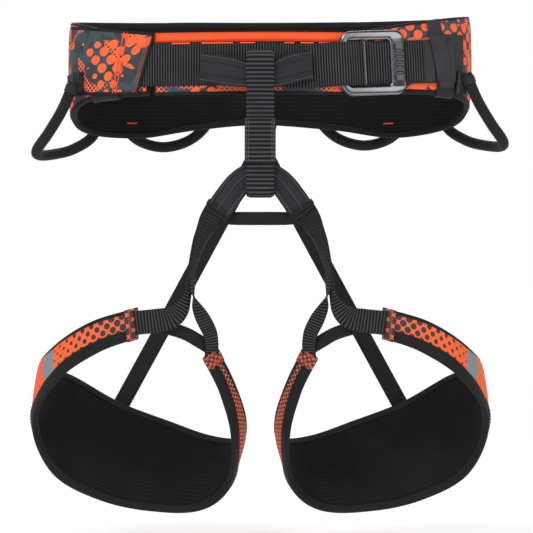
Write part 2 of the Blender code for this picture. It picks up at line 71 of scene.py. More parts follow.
CAD_BOX = [[float(c) for c in corner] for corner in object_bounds()]

MM = 0.001
BACK_SEAT = 88.398       # the belt's back, from the middle of its depth
ORIGIN = np.array((0.0, BACK_SEAT + 1.8, 25.0))   # drawings below are in mm about the belt's middle
BELT_X = 9.8             # the belt's middle
FRONT_RADIUS = 450.0     # of its front arc and its back arc
HIP_RADIUS = 60.0
ARC_ANGLE = math.radians(22.0)   # half the angle of the front arc
WEBBING = 43.5           # width of the waist's webbing
STRAP_TILT = math.radians(3.0)
BELAY_Y = -108.0         # the middle of the belay loop, which spans these heights
BELAY_TOP = 5.2
BELAY_BOTTOM = -139.7
PLAIN = (0, 0)           # ribs of a strap without any
WAIST, LOWER = "waist", "lower_harness"


# ---- vectors, splines and meshes -------------------------------------------------------
def unit(a):
    a = np.asarray(a, float)
    return a / np.maximum(np.linalg.norm(a, axis=-1, keepdims=True), 1e-9)


def tangents(path):
    """The unit direction of the path at each of its points."""
    return unit(np.gradient(path, axis=0))


def zigzag(count, reach):
    """Alternately -reach and reach."""
    return reach * np.where(np.arange(count) % 2, 1, -1)


def curve(a, b, c, d, f):
    """The Catmull-Rom curve from b to c, at share f of the way."""
    square = (2 * a - 5 * b + 4 * c - d) * f**2
    cube = (3 * b - a - 3 * c + d) * f**3
    return 0.5 * (2 * b + (c - a) * f + square + cube)


def spline(points, per_span=24):
    """Catmull-Rom through rows of numbers."""
    p = np.asarray(points, float)
    p = np.vstack([p[:1], p, p[-1:]])
    share = (np.arange(per_span) / per_span)[:, None]
    rows = [curve(*p[i:i + 4, None, :], share) for i in range(len(p) - 3)]
    return np.vstack([*rows, p[-2:-1]])


def even(path, step):
    """The path (position in columns 0 to 2) resampled at equal distances near step, and those distances."""
    far = np.concatenate([[0], np.cumsum(np.linalg.norm(np.diff(path[:, :3], axis=0), axis=1))])
    want = np.linspace(0, far[-1], max(2, int(round(far[-1] / step)) + 1))
    return np.stack([np.interp(want, far, column) for column in path.T], axis=1), want


def world(points):
    """Drawing points in mm as points of the frame in metres."""
    return (np.asarray(points, float) - ORIGIN) * MM


def placed(name, data):
    """A new object with this data, linked into the scene."""
    made = bpy.data.objects.new(name, data)
    bpy.context.scene.collection.objects.link(made)
    return made


def make(name, verts, faces, cloth, uvs=None):
    """A smooth mesh object from points in mm; uvs is one pair per point, in metres."""
    data = bpy.data.meshes.new(name)
    data.from_pydata([tuple(v) for v in world(verts)], [], faces)
    if uvs is not None:
        corners = np.empty(len(data.loops), int)
        data.loops.foreach_get("vertex_index", corners)
        layer = data.uv_layers.new(name="cloth")
        layer.data.foreach_set("uv", np.asarray(uvs, float)[corners].astype(np.float32).ravel())
    data.materials.append(CLOTH[cloth])
    data.shade_smooth()
    mesh = bmesh.new()
    mesh.from_mesh(data)
    bmesh.ops.recalc_face_normals(mesh, faces=mesh.faces)
    mesh.to_mesh(data)
    mesh.free()
    return placed(name, data)


def loft(name, rings, cloth, uvs=None, closed=False):
    """Joins rings of points (sections x points x 3). Open lofts get end caps."""
    rings = np.asarray(rings, float)
    n, k = rings.shape[:2]
    faces = []
    for i in range(n if closed else n - 1):
        a, b = i * k, ((i + 1) % n) * k
        faces += [(a + j, a + (j + 1) % k, b + (j + 1) % k, b + j) for j in range(k)]
    if not closed:
        faces += [tuple(range(k))[::-1], tuple(range((n - 1) * k, n * k))]
    if uvs is not None:
        uvs = np.reshape(uvs, (-1, 2))
    return make(name, rings.reshape(-1, 3), faces, cloth, uvs)


def marked(made, nodes, slot):
    """Hides the CAD nodes that the piece stands for. The slot is not used."""
    slot or SLOT_OF[made.data.materials[0]]
    name = made.data.name.split(".")[0]
    if name in frame["nodes"]:
        nodes = (name, *nodes)
    if nodes:
        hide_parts(*nodes)


def rides(made, body, *nodes, slot=None):
    """For a piece that moves with one body. It stands for its namesake in the CAD, if any, and for nodes."""
    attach(made, body)
    marked(made, nodes, slot)


def bends(made, bodies, ends, *nodes, slot=None):
    """For a piece that lies from one body to the next: hides the CAD nodes it stands for and bakes its
    transform. Bodies and ends are not used.
    """
    marked(made, nodes, slot)
    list(bodies)
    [tuple(world(end)) for end in ends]
    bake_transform(made)


# ---- webbing ---------------------------------------------------------------------------
SECTION = 9      # points across one side of a strap


def strap_rings(middle, across, out, width, ply, ribs, along, lift=0.0, wider=0.0, crown=0.0):
    """Rings round a strap. ribs is (pitch, height) of the ribs woven across it; lift is off its middle."""
    share = np.linspace(-1, 1, SECTION)
    edge = np.sqrt(np.clip(1 - np.abs(share) ** 7, 0, 1)) * 0.5 + 0.02
    pitch, height = ribs
    wave = height * np.cos(2 * np.pi * along / pitch) if pitch else np.zeros_like(along)
    fade = np.clip((1 - np.abs(share)) * 8, 0.25, 1)
    bow = crown * (1 - share**2)
    front, back, uv = [], [], []
    for i in range(len(middle)):
        half = (width[i] + wider) / 2
        row = middle[i] + np.outer(share * half, across[i])
        front.append(row + np.outer(lift + bow + edge * ply + wave[i] * fade, out[i]))
        back.append((row + np.outer(lift + bow - edge * ply - wave[i] * fade, out[i]))[::-1])
        pair = np.stack([np.full(SECTION, along[i]), share * half], axis=1) * MM
        uv.append(np.vstack([pair, pair[::-1]]))
    return np.concatenate([front, back], axis=1), np.array(uv)


def strap_frames(stations, step):
    """Middle, across, out, width and distance of a strap. A station is (x, y, z, across x, y, z, width)."""
    path, along = even(spline(stations), step)
    middle = path[:, :3]
    heading = tangents(middle)
    across = path[:, 3:6]
    across = unit(across - heading * np.sum(across * heading, axis=1, keepdims=True))
    return middle, across, np.cross(heading, across), path[:, 6], along


def kept(frames, part):
    """The frames in a share (start, end) of a strap's length."""
    along = frames[-1]
    keep = (along >= part[0] * along[-1]) & (along <= part[1] * along[-1])
    return [values[keep] for values in frames]


def webbing(name, stations, ply, cloth, ribs=(2.7, 0.22), step=None, part=None, **shape):
    """A flat woven strap along stations; part keeps a share (start, end) of its length."""
    frames = strap_frames(stations, step or (ribs[0] / 5 if ribs[0] else 2.0))
    if part:
        frames = kept(frames, part)
    middle, across, out, width, along = frames
    rings, uv = strap_rings(middle, across, out, width, ply, ribs, along, **shape)
    return loft(name, rings, cloth, uv)


def strap(name, stations, ply, cloth, body, *nodes, slot=None, **shape):
    """A woven strap that moves with one body."""
    rides(webbing(name, stations, ply, cloth, **shape), body, *nodes, slot=slot)


def mirrored(stations):
    """The stations on the other side of the plane of symmetry."""
    return [(-s[0], s[1], s[2], -s[3], *s[4:]) for s in stations]


def both_halves(half):
    """Stations of a symmetric strap from those up to its middle."""
    return half + mirrored(half[-2::-1])


# ---- stitching -------------------------------------------------------------------------
def stitches(name, runs, thread, body, slot="black_webbing", pitch=3.2, length=2.2, radius=0.28):
    """Rows of thread. Each run is (points, normals); the stitches stand a little proud."""
    verts, faces = [], []
    for points, normals in runs:
        path, far = even(np.hstack([np.asarray(points, float), np.asarray(normals, float)]), 0.5)
        total = far[-1]
        for centre in np.arange(pitch / 2, total, pitch):
            ends = [np.clip(centre + s * length / 2, 0, total) for s in (-1, -0.6, 0, 0.6, 1)]
            spots = np.array([[np.interp(e, far, column) for column in path.T] for e in ends])
            add_thread(verts, faces, spots[:, :3], unit(spots[:, 3:6]), radius)
    rides(make(name, verts, faces, thread), body, slot=slot)


def add_thread(verts, faces, spots, normals, radius):
    """One stitch: five rings of five points, sunk at its ends."""
    heading = unit(spots[-1] - spots[0])
    rise = np.array((-0.6, 0.55, 0.9, 0.55, -0.6)) * radius
    thick = np.array((0.45, 0.95, 1.0, 0.95, 0.45)) * radius
    start = len(verts)
    for i in range(5):
        side = np.cross(heading, normals[i])
        for j in range(5):
            angle = 2 * math.pi * j / 5
            up = rise[i] + thick[i] * math.sin(angle)
            verts.append(spots[i] + normals[i] * up + side * thick[i] * math.cos(angle))
    for i in range(4):
        a, b = start + i * 5, start + i * 5 + 5
        faces += [(a + j, a + (j + 1) % 5, b + (j + 1) % 5, b + j) for j in range(5)]
    faces.append(tuple(start + j for j in range(5))[::-1])
    faces.append(tuple(start + 20 + j for j in range(5)))


# ---- materials -------------------------------------------------------------------------
class Shader:
    """Builds one node material. Coordinates are metres of cloth (u along, v across) unless said otherwise."""

    def __init__(self, name):
        self.material = bpy.data.materials.new(name)
        self.material.use_nodes = True
        self.tree = self.material.node_tree
        self.surface = self.tree.nodes["Principled BSDF"]

    def node(self, kind, inputs=(), output=0, **settings):
        made = self.tree.nodes.new("ShaderNode" + kind)
        for key, value in settings.items():
            setattr(made, key, value)
        for key, value in dict(inputs).items():
            self.put(made.inputs[key], value)
        return made.outputs[output]

    def put(self, socket, value):
        if isinstance(value, bpy.types.NodeSocket):
            self.tree.links.new(value, socket)
        elif socket.type == "RGBA" and len(value) == 3:
            socket.default_value = (*value, 1.0)
        else:
            socket.default_value = value

    def math(self, operation, a, b=0.0, clamp=False):
        return self.node("Math", {0: a, 1: b}, operation=operation, use_clamp=clamp)

    def times(self, a, b, clamp=False):
        return self.math("MULTIPLY", a, b, clamp)

    def plus(self, a, b):
        return self.math("ADD", a, b)

    def minus(self, a, b, clamp=False):
        return self.math("SUBTRACT", a, b, clamp)

    def vector(self, operation, a, b=(0.0, 0.0, 0.0)):
        return self.node("VectorMath", {0: a, 1: b}, operation=operation)

    def length(self, vector):
        return self.node("VectorMath", {0: vector}, output="Value", operation="LENGTH")

    def split(self, vector):
        made = self.tree.nodes.new("ShaderNodeSeparateXYZ")
        self.put(made.inputs[0], vector)
        return made.outputs

    def cloth(self):
        """The cloth coordinates as a vector, and as u and v."""
        found = self.node("UVMap", uv_map="cloth")
        return found, *self.split(found)[:2]

    def place(self):
        return self.node("TexCoord", output="Object")

    def noise(self, vector, scale, detail, rough=0.55, warp=0.0):
        inputs = {"Vector": vector, "Scale": scale, "Detail": detail, "Roughness": rough, "Distortion": warp}
        return self.node("TexNoise", inputs)

    def mix(self, share, a, b):
        made = self.tree.nodes.new("ShaderNodeMix")
        made.data_type = "RGBA"
        for socket, value in ((made.inputs[0], share), (made.inputs[6], a), (made.inputs[7], b)):
            self.put(socket, value)
        return made.outputs[2]

    def step(self, value, edge, soft):
        """0 below edge and 1 above it, over a width of soft."""
        inputs = {0: value, 1: edge - soft / 2, 2: edge + soft / 2, 3: 0.0, 4: 1.0}
        return self.node("MapRange", inputs, interpolation_type="SMOOTHSTEP")

    def spread(self, value, low, high, end=1.0):
        """Low where the value is 0 and high where it is end, and even between."""
        return self.node("MapRange", {0: value, 1: 0.0, 2: end, 3: low, 4: high})

    def wave(self, along, pitch):
        """A smooth 0..1 wave of this pitch in metres."""
        turned = self.math("COSINE", self.times(along, 2 * math.pi / pitch))
        return self.node("Math", {0: turned, 1: 0.5, 2: 0.5}, operation="MULTIPLY_ADD")

    def bump(self, height, distance):
        return self.node("Bump", {"Height": height, "Distance": distance, "Strength": 1.0})

    def dots(self, vector, size, radius):
        """1 inside round dots on a staggered grid of this size in metres; radius is a share of the size."""
        turn = (0, 0, math.radians(45))
        turned = self.node("Mapping", {0: vector, 2: turn, 3: (1 / size, 1 / size, 1)})
        cell = self.vector("FRACTION", turned)
        off = self.vector("SUBTRACT", cell, (0.5, 0.5, 0))
        flat = self.vector("MULTIPLY", off, (1, 1, 0))
        return self.step(self.minus(radius, self.length(flat)), 0.0, 0.05)

    def finish(self, colour, rough, normal=None, sheen=0.05, metallic=0.0, shine=0.16):
        values = {"Base Color": colour, "Roughness": rough, "Metallic": metallic, "Sheen Weight": sheen,
                  "Sheen Roughness": 0.4, "Sheen Tint": (0.6, 0.6, 0.62), "Specular IOR Level": shine}
        if normal is not None:
            values["Normal"] = normal
        for key, value in values.items():
            self.put(self.surface.inputs[key], value)
        return self.material


LEG_GIRTH = 580.0      # mm along a leg pad's middle line; the print's far end is placed by it
ORANGE = (0.86, 0.115, 0.026)
BRIGHT = (1.0, 0.11, 0.025)
CHARCOAL = (0.026, 0.033, 0.040)
SLATE = (0.036, 0.054, 0.068)
GREY_BLUE = (0.19, 0.235, 0.27)
FADED = (0.30, 0.28, 0.27)
BURNT = (0.72, 0.06, 0.015)
SHADED = (0.50, 0.040, 0.010)



def woven(name, dark, light, pitch=0.0027, yarn=0.0009):
    """Webbing: ribs across, fine yarns along, and a painted highlight on the ribs' tops in the light colour,
    varied by a noise.
    """
    s = Shader(name)
    uv, u, v = s.cloth()
    ribs = s.wave(u, pitch)
    yarns = s.wave(v, yarn)
    highlight_and_gloss_noise = s.noise(s.place(), 45.0, 4.0)
    grain = s.noise(uv, 1500.0, 2.0)
    # painted highlight: the ribs' tops go towards the light colour, more or less by a noise
    top = s.times(s.math("POWER", ribs, 2.2), s.spread(highlight_and_gloss_noise, 0.35, 1.15))
    top = s.times(top, s.spread(grain, 0.5, 1.25), clamp=True)
    height = s.plus(s.times(yarns, 0.55), s.times(grain, 0.5))
    height = s.plus(height, s.times(ribs, 0.6))
    return s.finish(s.mix(top, dark, light), s.spread(highlight_and_gloss_noise, 0.62, 0.8), s.bump(height, 0.00018), 0.06)


def twill(name, dark, light, pitch=0.0016, rough=0.66):
    """Tape and dense sleeves: fine diagonal lines."""
    s = Shader(name)
    uv, u, v = s.cloth()
    line = s.wave(s.plus(u, v), pitch)
    wear = s.noise(s.place(), 60.0, 4.0)
    grain = s.noise(uv, 1800.0, 2.0)
    tone = s.times(line, s.spread(wear, 0.2, 1.0))
    height = s.plus(line, s.times(grain, 0.4))
    colour = s.mix(tone, dark, light)
    return s.finish(colour, s.spread(wear, rough - 0.1, rough + 0.1), s.bump(height, 0.00012), 0.06)


def air_mesh(name):
    """Open spacer mesh: small staggered holes in a dull knit, with painted shade in the holes and between the
    knit's rows.
    """
    s = Shader(name)
    uv, _, v = s.cloth()
    hole = s.dots(uv, 0.0030, 0.27)
    wear = s.noise(s.place(), 26.0, 4.0)
    rows = s.wave(v, 0.0042)
    # painted shade: darker in the holes and between the rows; the noise varies the tone at random
    tone = s.times(s.minus(1.0, hole), s.spread(wear, 0.25, 1.0))
    tone = s.times(tone, s.spread(rows, 0.55, 1.0))
    height = s.minus(s.times(rows, 0.3), hole)
    colour = s.mix(tone, (0.0025, 0.0025, 0.003), (0.021, 0.021, 0.022))
    return s.finish(colour, 0.85, s.bump(height, 0.0005), 0.02, 0.0, 0.1)


def ripstop(s, colour):
    """Finishes a printed ripstop cloth: a fine grid, soft creases and a faint fade."""
    _, u, v = s.cloth()
    grid = s.math("MAXIMUM", s.step(s.wave(u, 0.0042), 0.93, 0.1), s.step(s.wave(v, 0.0042), 0.93, 0.1))
    weave = s.plus(s.wave(u, 0.0006), s.wave(v, 0.0006))
    crease = s.noise(s.place(), 38.0, 3.0, warp=0.6)
    height = s.plus(s.times(grid, 0.25), s.times(weave, 0.12))
    height = s.plus(height, s.times(crease, 3.2))
    fade = s.spread(s.noise(s.place(), 90.0, 5.0), 0.0, 0.05)
    return s.finish(s.mix(fade, colour, FADED), 0.6, s.bump(height, 0.00035), 0.04, 0.0, 0.22)


def camouflage(s, vector, scale, seed):
    """Broad warped patches in charcoal and slate, as a ground for the orange print."""
    moved = s.vector("ADD", vector, (seed, seed * 0.7, 0))
    patches = s.step(s.noise(moved, scale, 1.5, 0.4, warp=1.4), 0.52, 0.012)
    return s.mix(patches, CHARCOAL, SLATE), moved


def belt_cloth():
    """The cover panel and the hips: broad pierced rings, dots and brush-like sweeps on a dark ground."""
    s = Shader("belt_cloth")
    uv = s.cloth()[0]
    ground, moved = camouflage(s, uv, 30.0, 1.3)
    warped = s.vector("ADD", uv, s.vector("MULTIPLY", s.noise(uv, 35.0, 1.0, warp=0.8), (0.011, 0.011, 0)))
    ring = s.minus(s.dots(warped, 0.062, 0.43), s.dots(warped, 0.062, 0.28), clamp=True)
    ring = s.times(ring, s.step(s.noise(uv, 14.0, 0.0), 0.47, 0.01))
    spots = s.math("MINIMUM", s.spread(s.noise(moved, 21.0, 0.0), -1.3, 1.6), 0.40)
    spots = s.dots(uv, 0.0118, spots)
    brush = s.node("Mapping", {0: moved, 2: (0, 0, 0.9), 3: (22.0, 60.0, 1)})
    sweep = s.noise(brush, 1.0, 2.0, 0.5, warp=1.2)
    sweeps = s.math("MAXIMUM", s.step(sweep, 0.66, 0.012), ring)
    pierced = s.dots(uv, 0.0036, s.spread(s.noise(moved, 40.0, 0.0), -0.35, 0.85))
    sweeps = s.times(sweeps, s.minus(1.0, pierced))
    return ripstop(s, s.mix(s.math("MAXIMUM", spots, sweeps), ground, ORANGE))


def leg_cloth():
    """Orange with a dark halftone, coarse at the arm's end, where u is 0, and fading out from there."""
    s = Shader("leg_cloth")
    uv, u, _ = s.cloth()
    ground, moved = camouflage(s, uv, 24.0, 3.1)
    coarse = s.dots(uv, 0.0074, s.spread(u, 0.53, 0.10, 0.118))
    from_end = s.minus(LEG_GIRTH * MM, u)
    fine = s.dots(uv, 0.0040, s.spread(from_end, 0.50, 0.38, 0.132))
    fine = s.times(fine, s.minus(1.0, s.step(from_end, 0.132, 0.004)))
    colour = s.mix(s.math("MAXIMUM", coarse, fine), ORANGE, CHARCOAL)
    oval = s.vector("MULTIPLY", s.vector("SUBTRACT", uv, (0.112, 0.004, 0)), (90.0, 60.0, 0))
    colour = s.mix(s.step(s.length(oval), 1.0, 0.05), GREY_BLUE, colour)
    back = s.times(s.step(u, 0.170, 0.001), s.minus(1.0, s.step(u, 0.330, 0.001)))
    sweeps = s.step(s.noise(moved, 26.0, 1.0, 0.4, warp=1.2), 0.60, 0.012)
    return ripstop(s, s.mix(back, colour, s.mix(sweeps, ground, ORANGE)))


def trim_cloth():
    s = Shader("trim_cloth")
    _, u, v = s.cloth()
    knit = s.wave(s.plus(u, s.times(v, 0.5)), 0.0012)
    folds = s.noise(s.place(), 70.0, 3.0)
    height = s.plus(s.times(knit, 0.3), s.times(folds, 2.5))
    colour = s.mix(s.spread(folds, 0.0, 0.45), BRIGHT, BURNT)
    # painted shade: the roll is darker towards its upper and lower edges, as a lit round roll looks; SHADED
    # is its shaded orange
    rolled = s.wave(s.minus(v, 0.0212), 0.0105)
    colour = s.mix(s.spread(rolled, 0.55, 0.0), colour, SHADED)
    return s.finish(colour, 0.6, s.bump(height, 0.0004))


def polished(name, dark, light):
    """Forged aluminium: painted reflections of a studio as bright and dark bands, fine brush lines and a few
    rubbed spots.

    The first cloth coordinate says how much of the surface is painted darker, as a painted reflection of the
    dark side of the room.
    """
    s = Shader(name)
    place = s.place()
    lines = s.noise(s.vector("MULTIPLY", place, (60.0, 900.0, 60.0)), 6.0, 3.0)
    spots = s.noise(place, 160.0, 5.0)
    # painted reflection: the colour changes in bands with the direction of the view's reflection
    mirror = s.split(s.node("TexCoord", output="Reflection"))
    band = s.plus(s.times(mirror[2], 0.9), s.times(mirror[0], 0.45))
    band = s.plus(band, s.spread(lines, -0.06, 0.06))
    band = s.math("ABSOLUTE", s.math("SINE", s.times(band, 3.4)))
    rough = s.plus(s.spread(lines, 0.18, 0.32), s.spread(spots, -0.04, 0.10))
    colour = s.mix(s.step(band, 0.62, 0.7), dark, light)
    # painted reflection of the dark side of the room, where the first cloth coordinate marks the grip limb
    colour = s.mix(s.times(s.cloth()[1], 0.88), colour, dark)
    return s.finish(colour, rough, s.bump(lines, 0.00004), 0.0, 1.0)


def moulded(name, colour):
    s = Shader(name)
    grain = s.noise(s.place(), 900.0, 2.0)
    wear = s.noise(s.place(), 70.0, 4.0)
    worn = tuple(c * 1.8 + 0.004 for c in colour)
    rough = s.spread(wear, 0.4, 0.6)
    return s.finish(s.mix(wear, colour, worn), rough, s.bump(grain, 0.00005), 0.0, 0.0, 0.3)


def thread_of(name, colour):
    s = Shader(name)
    twist = s.noise(s.place(), 2500.0, 2.0)
    return s.finish(s.mix(twist, tuple(c * 0.55 for c in colour), colour), 0.5, s.bump(twist, 0.0001))


CLOTH = {
    # the second colour of each woven cloth is its painted highlight on the ribs' tops
    "webbing": woven("black_webbing", (0.0035, 0.0035, 0.004), (0.085, 0.085, 0.090)),
    "belay": woven("belay_webbing", (0.004, 0.004, 0.005), (0.090, 0.092, 0.098), 0.0042, 0.0011),
    "sheath": woven("gear_loop_sheath", (0.005, 0.005, 0.0055), (0.034, 0.034, 0.037), 0.0016, 0.0025),
    "elastic": woven("riser_elastic", (0.007, 0.007, 0.008), (0.026, 0.026, 0.028), 0.0022, 0.0008),
    "lateral": woven("leg_webbing", (0.0045, 0.0045, 0.005), (0.080, 0.080, 0.085), 0.0032, 0.0009),
    "tape": twill("edge_tape", (0.0045, 0.0045, 0.005), (0.024, 0.024, 0.026)),
    "sleeve": twill("wear_sleeve", (0.009, 0.009, 0.011), (0.038, 0.039, 0.044), 0.0013, 0.5),
    # the piping is lighter than the sleeve: a painted highlight along its ridges
    "piping": twill("piping_painted_highlight", (0.020, 0.020, 0.022), (0.085, 0.087, 0.093), 0.0012, 0.5),
    "keeper": twill("keeper_elastic", (0.008, 0.008, 0.009), (0.085, 0.086, 0.092), 0.0022),
    "mesh": air_mesh("spacer_mesh"),
    "belt": belt_cloth(),
    "leg": leg_cloth(),
    "trim": trim_cloth(),
    # the two colours of each metal are its painted reflections of the room's dark and bright sides
    "metal": polished("polished_aluminium", (0.045, 0.046, 0.050), (0.27, 0.275, 0.285)),
    "bar": polished("locking_bar_aluminium", (0.03, 0.031, 0.034), (0.13, 0.132, 0.138)),
    "plastic": moulded("black_nylon", (0.012, 0.012, 0.013)),
    "black_thread": thread_of("black_thread", (0.035, 0.035, 0.038)),
    "grey_thread": thread_of("grey_thread", (0.17, 0.172, 0.18)),
    "orange_thread": thread_of("orange_thread", (0.95, 0.13, 0.03)),
}
SLOTS = {            # cloths in each material slot, where a piece doesn't say otherwise
    "black_webbing": ("webbing", "belay", "lateral"),
    "black_plastic": ("sheath", "plastic"),
    "elastic": ("elastic", "keeper"),
    "edge_tape": ("tape",),
    "wear_sleeve": ("sleeve", "piping"),
    "mesh_fabric": ("mesh",),
    "printed_fabric": ("belt", "leg"),
    "orange_trim": ("trim",),
    "aluminium": ("metal", "bar"),
}
SLOT_OF = {CLOTH[cloth]: slot for slot, cloths in SLOTS.items() for cloth in cloths}


# ---- pads ------------------------------------------------------------------------------
class Pad:
    """A padded band. surface(i, share, out) gives points of station i; share goes from low to high edge.

    The middle layer lies middle mm out from the surface, and the skin up to half mm either side of it.
    """

    ACROSS = 15      # points from edge to edge of one side
    FINER = 2        # how many times finer the finished pad is than the simulated one
    CALM = 9         # rounds of smoothing that take short ripples out of the swelling
    EDGE = 0.22      # thickness at the edges, as a share of the middle's
    FRAMES = 16      # length of the simulation

    def __init__(self, name, surface, count, middle, half, length, heights, free):
        self.name = name
        share = (1 - np.cos(np.linspace(0, math.pi, self.ACROSS))) / 2
        plump = np.sqrt(np.clip(1 - np.abs(2 * share - 1) ** 3.2, 0, 1)) * (1 - self.EDGE) + self.EDGE
        ring_share = np.concatenate([share, share[::-1]])
        ring_out = np.concatenate([plump, -plump[::-1]])
        from_end = np.minimum(np.arange(count), np.arange(count)[::-1])
        thick = half * np.clip(0.45 + 0.3 * from_end, 0, 1)
        grid = np.array([surface(i, ring_share, middle + thick[i] * ring_out) for i in range(count)])
        self.points = self.refine(self.swell(grid, free))
        self.ring = self.points.shape[1]
        fine_share = self.refine(np.tile(ring_share[None, :, None], (3, 1, 1)))[0, :, 0]
        along = np.linspace(0, 1, self.points.shape[0])
        low, high = (np.interp(along, np.linspace(0, 1, count), edge)[:, None] for edge in heights)
        distance = np.repeat((along * length)[:, None], self.ring, axis=1)
        self.uv = np.stack([distance, low + (high - low) * fine_share[None, :]], axis=2) * MM
        ring_way = unit(np.roll(self.points, -1, axis=1) - np.roll(self.points, 1, axis=1))
        self.normals = unit(np.cross(tangents(self.points), ring_way))
        if np.sum((self.points - self.points.mean(axis=1, keepdims=True)) * self.normals) < 0:
            self.normals = -self.normals

    def swell(self, grid, free):
        """Cloth pressure fills the pad out; free is how far each point may move, in mm."""
        rough = loft(self.name + "_rough", grid, "mesh")
        group = rough.vertex_groups.new(name="sewn")
        ring = grid.shape[1]
        seams = (0, self.ACROSS - 1, self.ACROSS, ring - 1)
        group.add([i * ring + j for i in range(len(grid)) for j in seams], 1.0, "REPLACE")
        cloth = rough.modifiers.new("swell", "CLOTH")
        settings = cloth.settings
        settings.quality = 4
        settings.use_pressure = True
        settings.uniform_pressure_force = 4.0
        settings.shrink_min = -0.035
        settings.vertex_group_mass = "sewn"
        settings.effector_weights.gravity = 0.0
        settings.bending_stiffness = 0.15
        settings.tension_stiffness = 12.0
        settings.compression_stiffness = 12.0
        cloth.collision_settings.use_collision = False
        cloth.point_cache.frame_end = self.FRAMES
        scene = bpy.context.scene
        for step in range(1, self.FRAMES + 1):
            scene.frame_set(step)
        done = rough.evaluated_get(bpy.context.evaluated_depsgraph_get()).data
        found = np.empty(len(done.vertices) * 3)
        done.vertices.foreach_get("co", found)
        moved = found.reshape(grid.shape) / MM + ORIGIN - grid
        far = np.maximum(np.linalg.norm(moved, axis=2), 1e-9)
        moved *= (np.minimum(far, free) / far)[:, :, None]
        for _ in range(self.CALM):
            padded = np.concatenate([moved[:1], moved, moved[-1:]])
            moved = (padded[:-2] + 2 * moved + padded[2:]) / 4
        scene.frame_set(1)
        bpy.data.objects.remove(rough)
        return grid + moved

    def refine(self, grid):
        """A finer grid on smooth curves both ways; it is open one way and closed round the section."""
        steps = np.arange(self.FINER) / self.FINER
        before, after, beyond = (np.roll(grid, turns, 1) for turns in (1, -1, -2))
        around = [curve(before, grid, after, beyond, f) for f in steps]
        grid = np.stack(around, axis=2).reshape(grid.shape[0], -1, grid.shape[2])
        padded = np.concatenate([grid[:1], grid, grid[-1:], grid[-1:]])
        rows = [curve(padded[:-3], padded[1:-2], padded[2:-1], padded[3:], f) for f in steps]
        return np.stack(rows, axis=1).reshape(-1, grid.shape[1], grid.shape[2])[:(1 - self.FINER) or None]

    def body(self, cloth):
        """The pad itself as a closed mesh."""
        return loft(self.name, self.points, cloth, self.uv)

    def sample(self, along, around, lift=0.0):
        """Points, cloth coordinates and normals at shares along the pad and around its section.

        Around is 0 at the low edge and 0.5 at the high one; the back comes after that.
        """
        along, around = np.broadcast_arrays(np.asarray(along, float), np.asarray(around, float))
        n, k = self.points.shape[0], self.ring
        a = np.clip(along, 0, 1) * (n - 1)
        i = np.minimum(a.astype(int), n - 2)
        b = (around * k - 0.5 * self.FINER) % k
        j = b.astype(int) % k
        after = (j + 1) % k
        fa, fb = (a - i)[..., None], (b - np.floor(b))[..., None]

        def at(grid):
            top = grid[i, j] * (1 - fb) + grid[i, after] * fb
            bottom = grid[i + 1, j] * (1 - fb) + grid[i + 1, after] * fb
            return top * (1 - fa) + bottom * fa

        normals = unit(at(self.normals))
        return at(self.points) + normals * np.asarray(lift)[..., None], at(self.uv), normals

    def round_at(self, share):
        """How far round the section a share of the width is, measured from an edge."""
        return (np.arccos(1 - 2 * share) / math.pi * (self.ACROSS - 1) + 0.5) / (2 * self.ACROSS)

    def turn(self, along, mm):
        """How far round the section a point this many mm in from an edge is, measured from that edge."""
        width = np.interp(along, np.linspace(0, 1, len(self.uv)), np.ptp(self.uv[:, :, 1], axis=1)) / MM
        return self.round_at(np.clip(mm / width, 0, 0.5))

    def low(self, mm):
        """The line this many mm in from the low edge, on the back where mm is negative."""
        return lambda along: math.copysign(1.0, mm) * self.turn(along, abs(mm))

    def high(self, mm):
        """The line this many mm in from the high edge, on the back where mm is negative."""
        return lambda along: 0.5 - math.copysign(1.0, mm) * self.turn(along, abs(mm))

    def level(self, z):
        """The line at a height of z mm on the outer face."""
        low, high = self.uv[:, :, 1].min(axis=1) / MM, self.uv[:, :, 1].max(axis=1) / MM
        where = np.linspace(0, 1, len(low))

        def around(along):
            bottom = np.interp(along, where, low)
            return self.round_at(np.clip((z - bottom) / (np.interp(along, where, high) - bottom), 0, 1))

        return around

    def mirror(self, name):
        """The same pad on the other side of the plane of symmetry."""
        other = copy.copy(self)
        other.name = name
        other.points = self.points * (-1, 1, 1)
        other.normals = self.normals * (-1, 1, 1)
        return other

    def sheet(self, name, along, around, lift, cloth, counts, soft=0.0):
        """A thin closed sheet on the pad. around is (start, end), each a number or a line."""
        a = np.linspace(*along, counts[0])
        first, last = (e(a) if callable(e) else np.full(counts[0], float(e)) for e in around)
        share = np.linspace(0, 1, counts[1])[None, :]
        grid_b = first[:, None] * (1 - share) + last[:, None] * share
        grid_a = np.repeat(a[:, None], counts[1], axis=1)
        outer, uv, _ = self.sample(grid_a, grid_b, lift[1] + soft * np.sin(np.pi * share))
        inner = self.sample(grid_a, grid_b, lift[0])[0]
        rings = np.concatenate([outer, inner[:, ::-1]], axis=1)
        return loft(name, rings, cloth, np.concatenate([uv, uv[:, ::-1]], axis=1))

    def tape(self, name, edge, face_mm, back_mm, lift, counts=(160, 12)):
        """Binding folded round an edge, which is the pad's low or high."""
        return self.sheet(name, (0.0, 1.0), (edge(-back_mm), edge(face_mm)), lift, "tape", counts)

    def run(self, along, around, lift, count):
        """Points and normals for a row of stitches; around is a number or a line."""
        a = np.linspace(*along, count)
        points, _, normals = self.sample(a, around(a) if callable(around) else np.full(count, around), lift)
        return points, normals


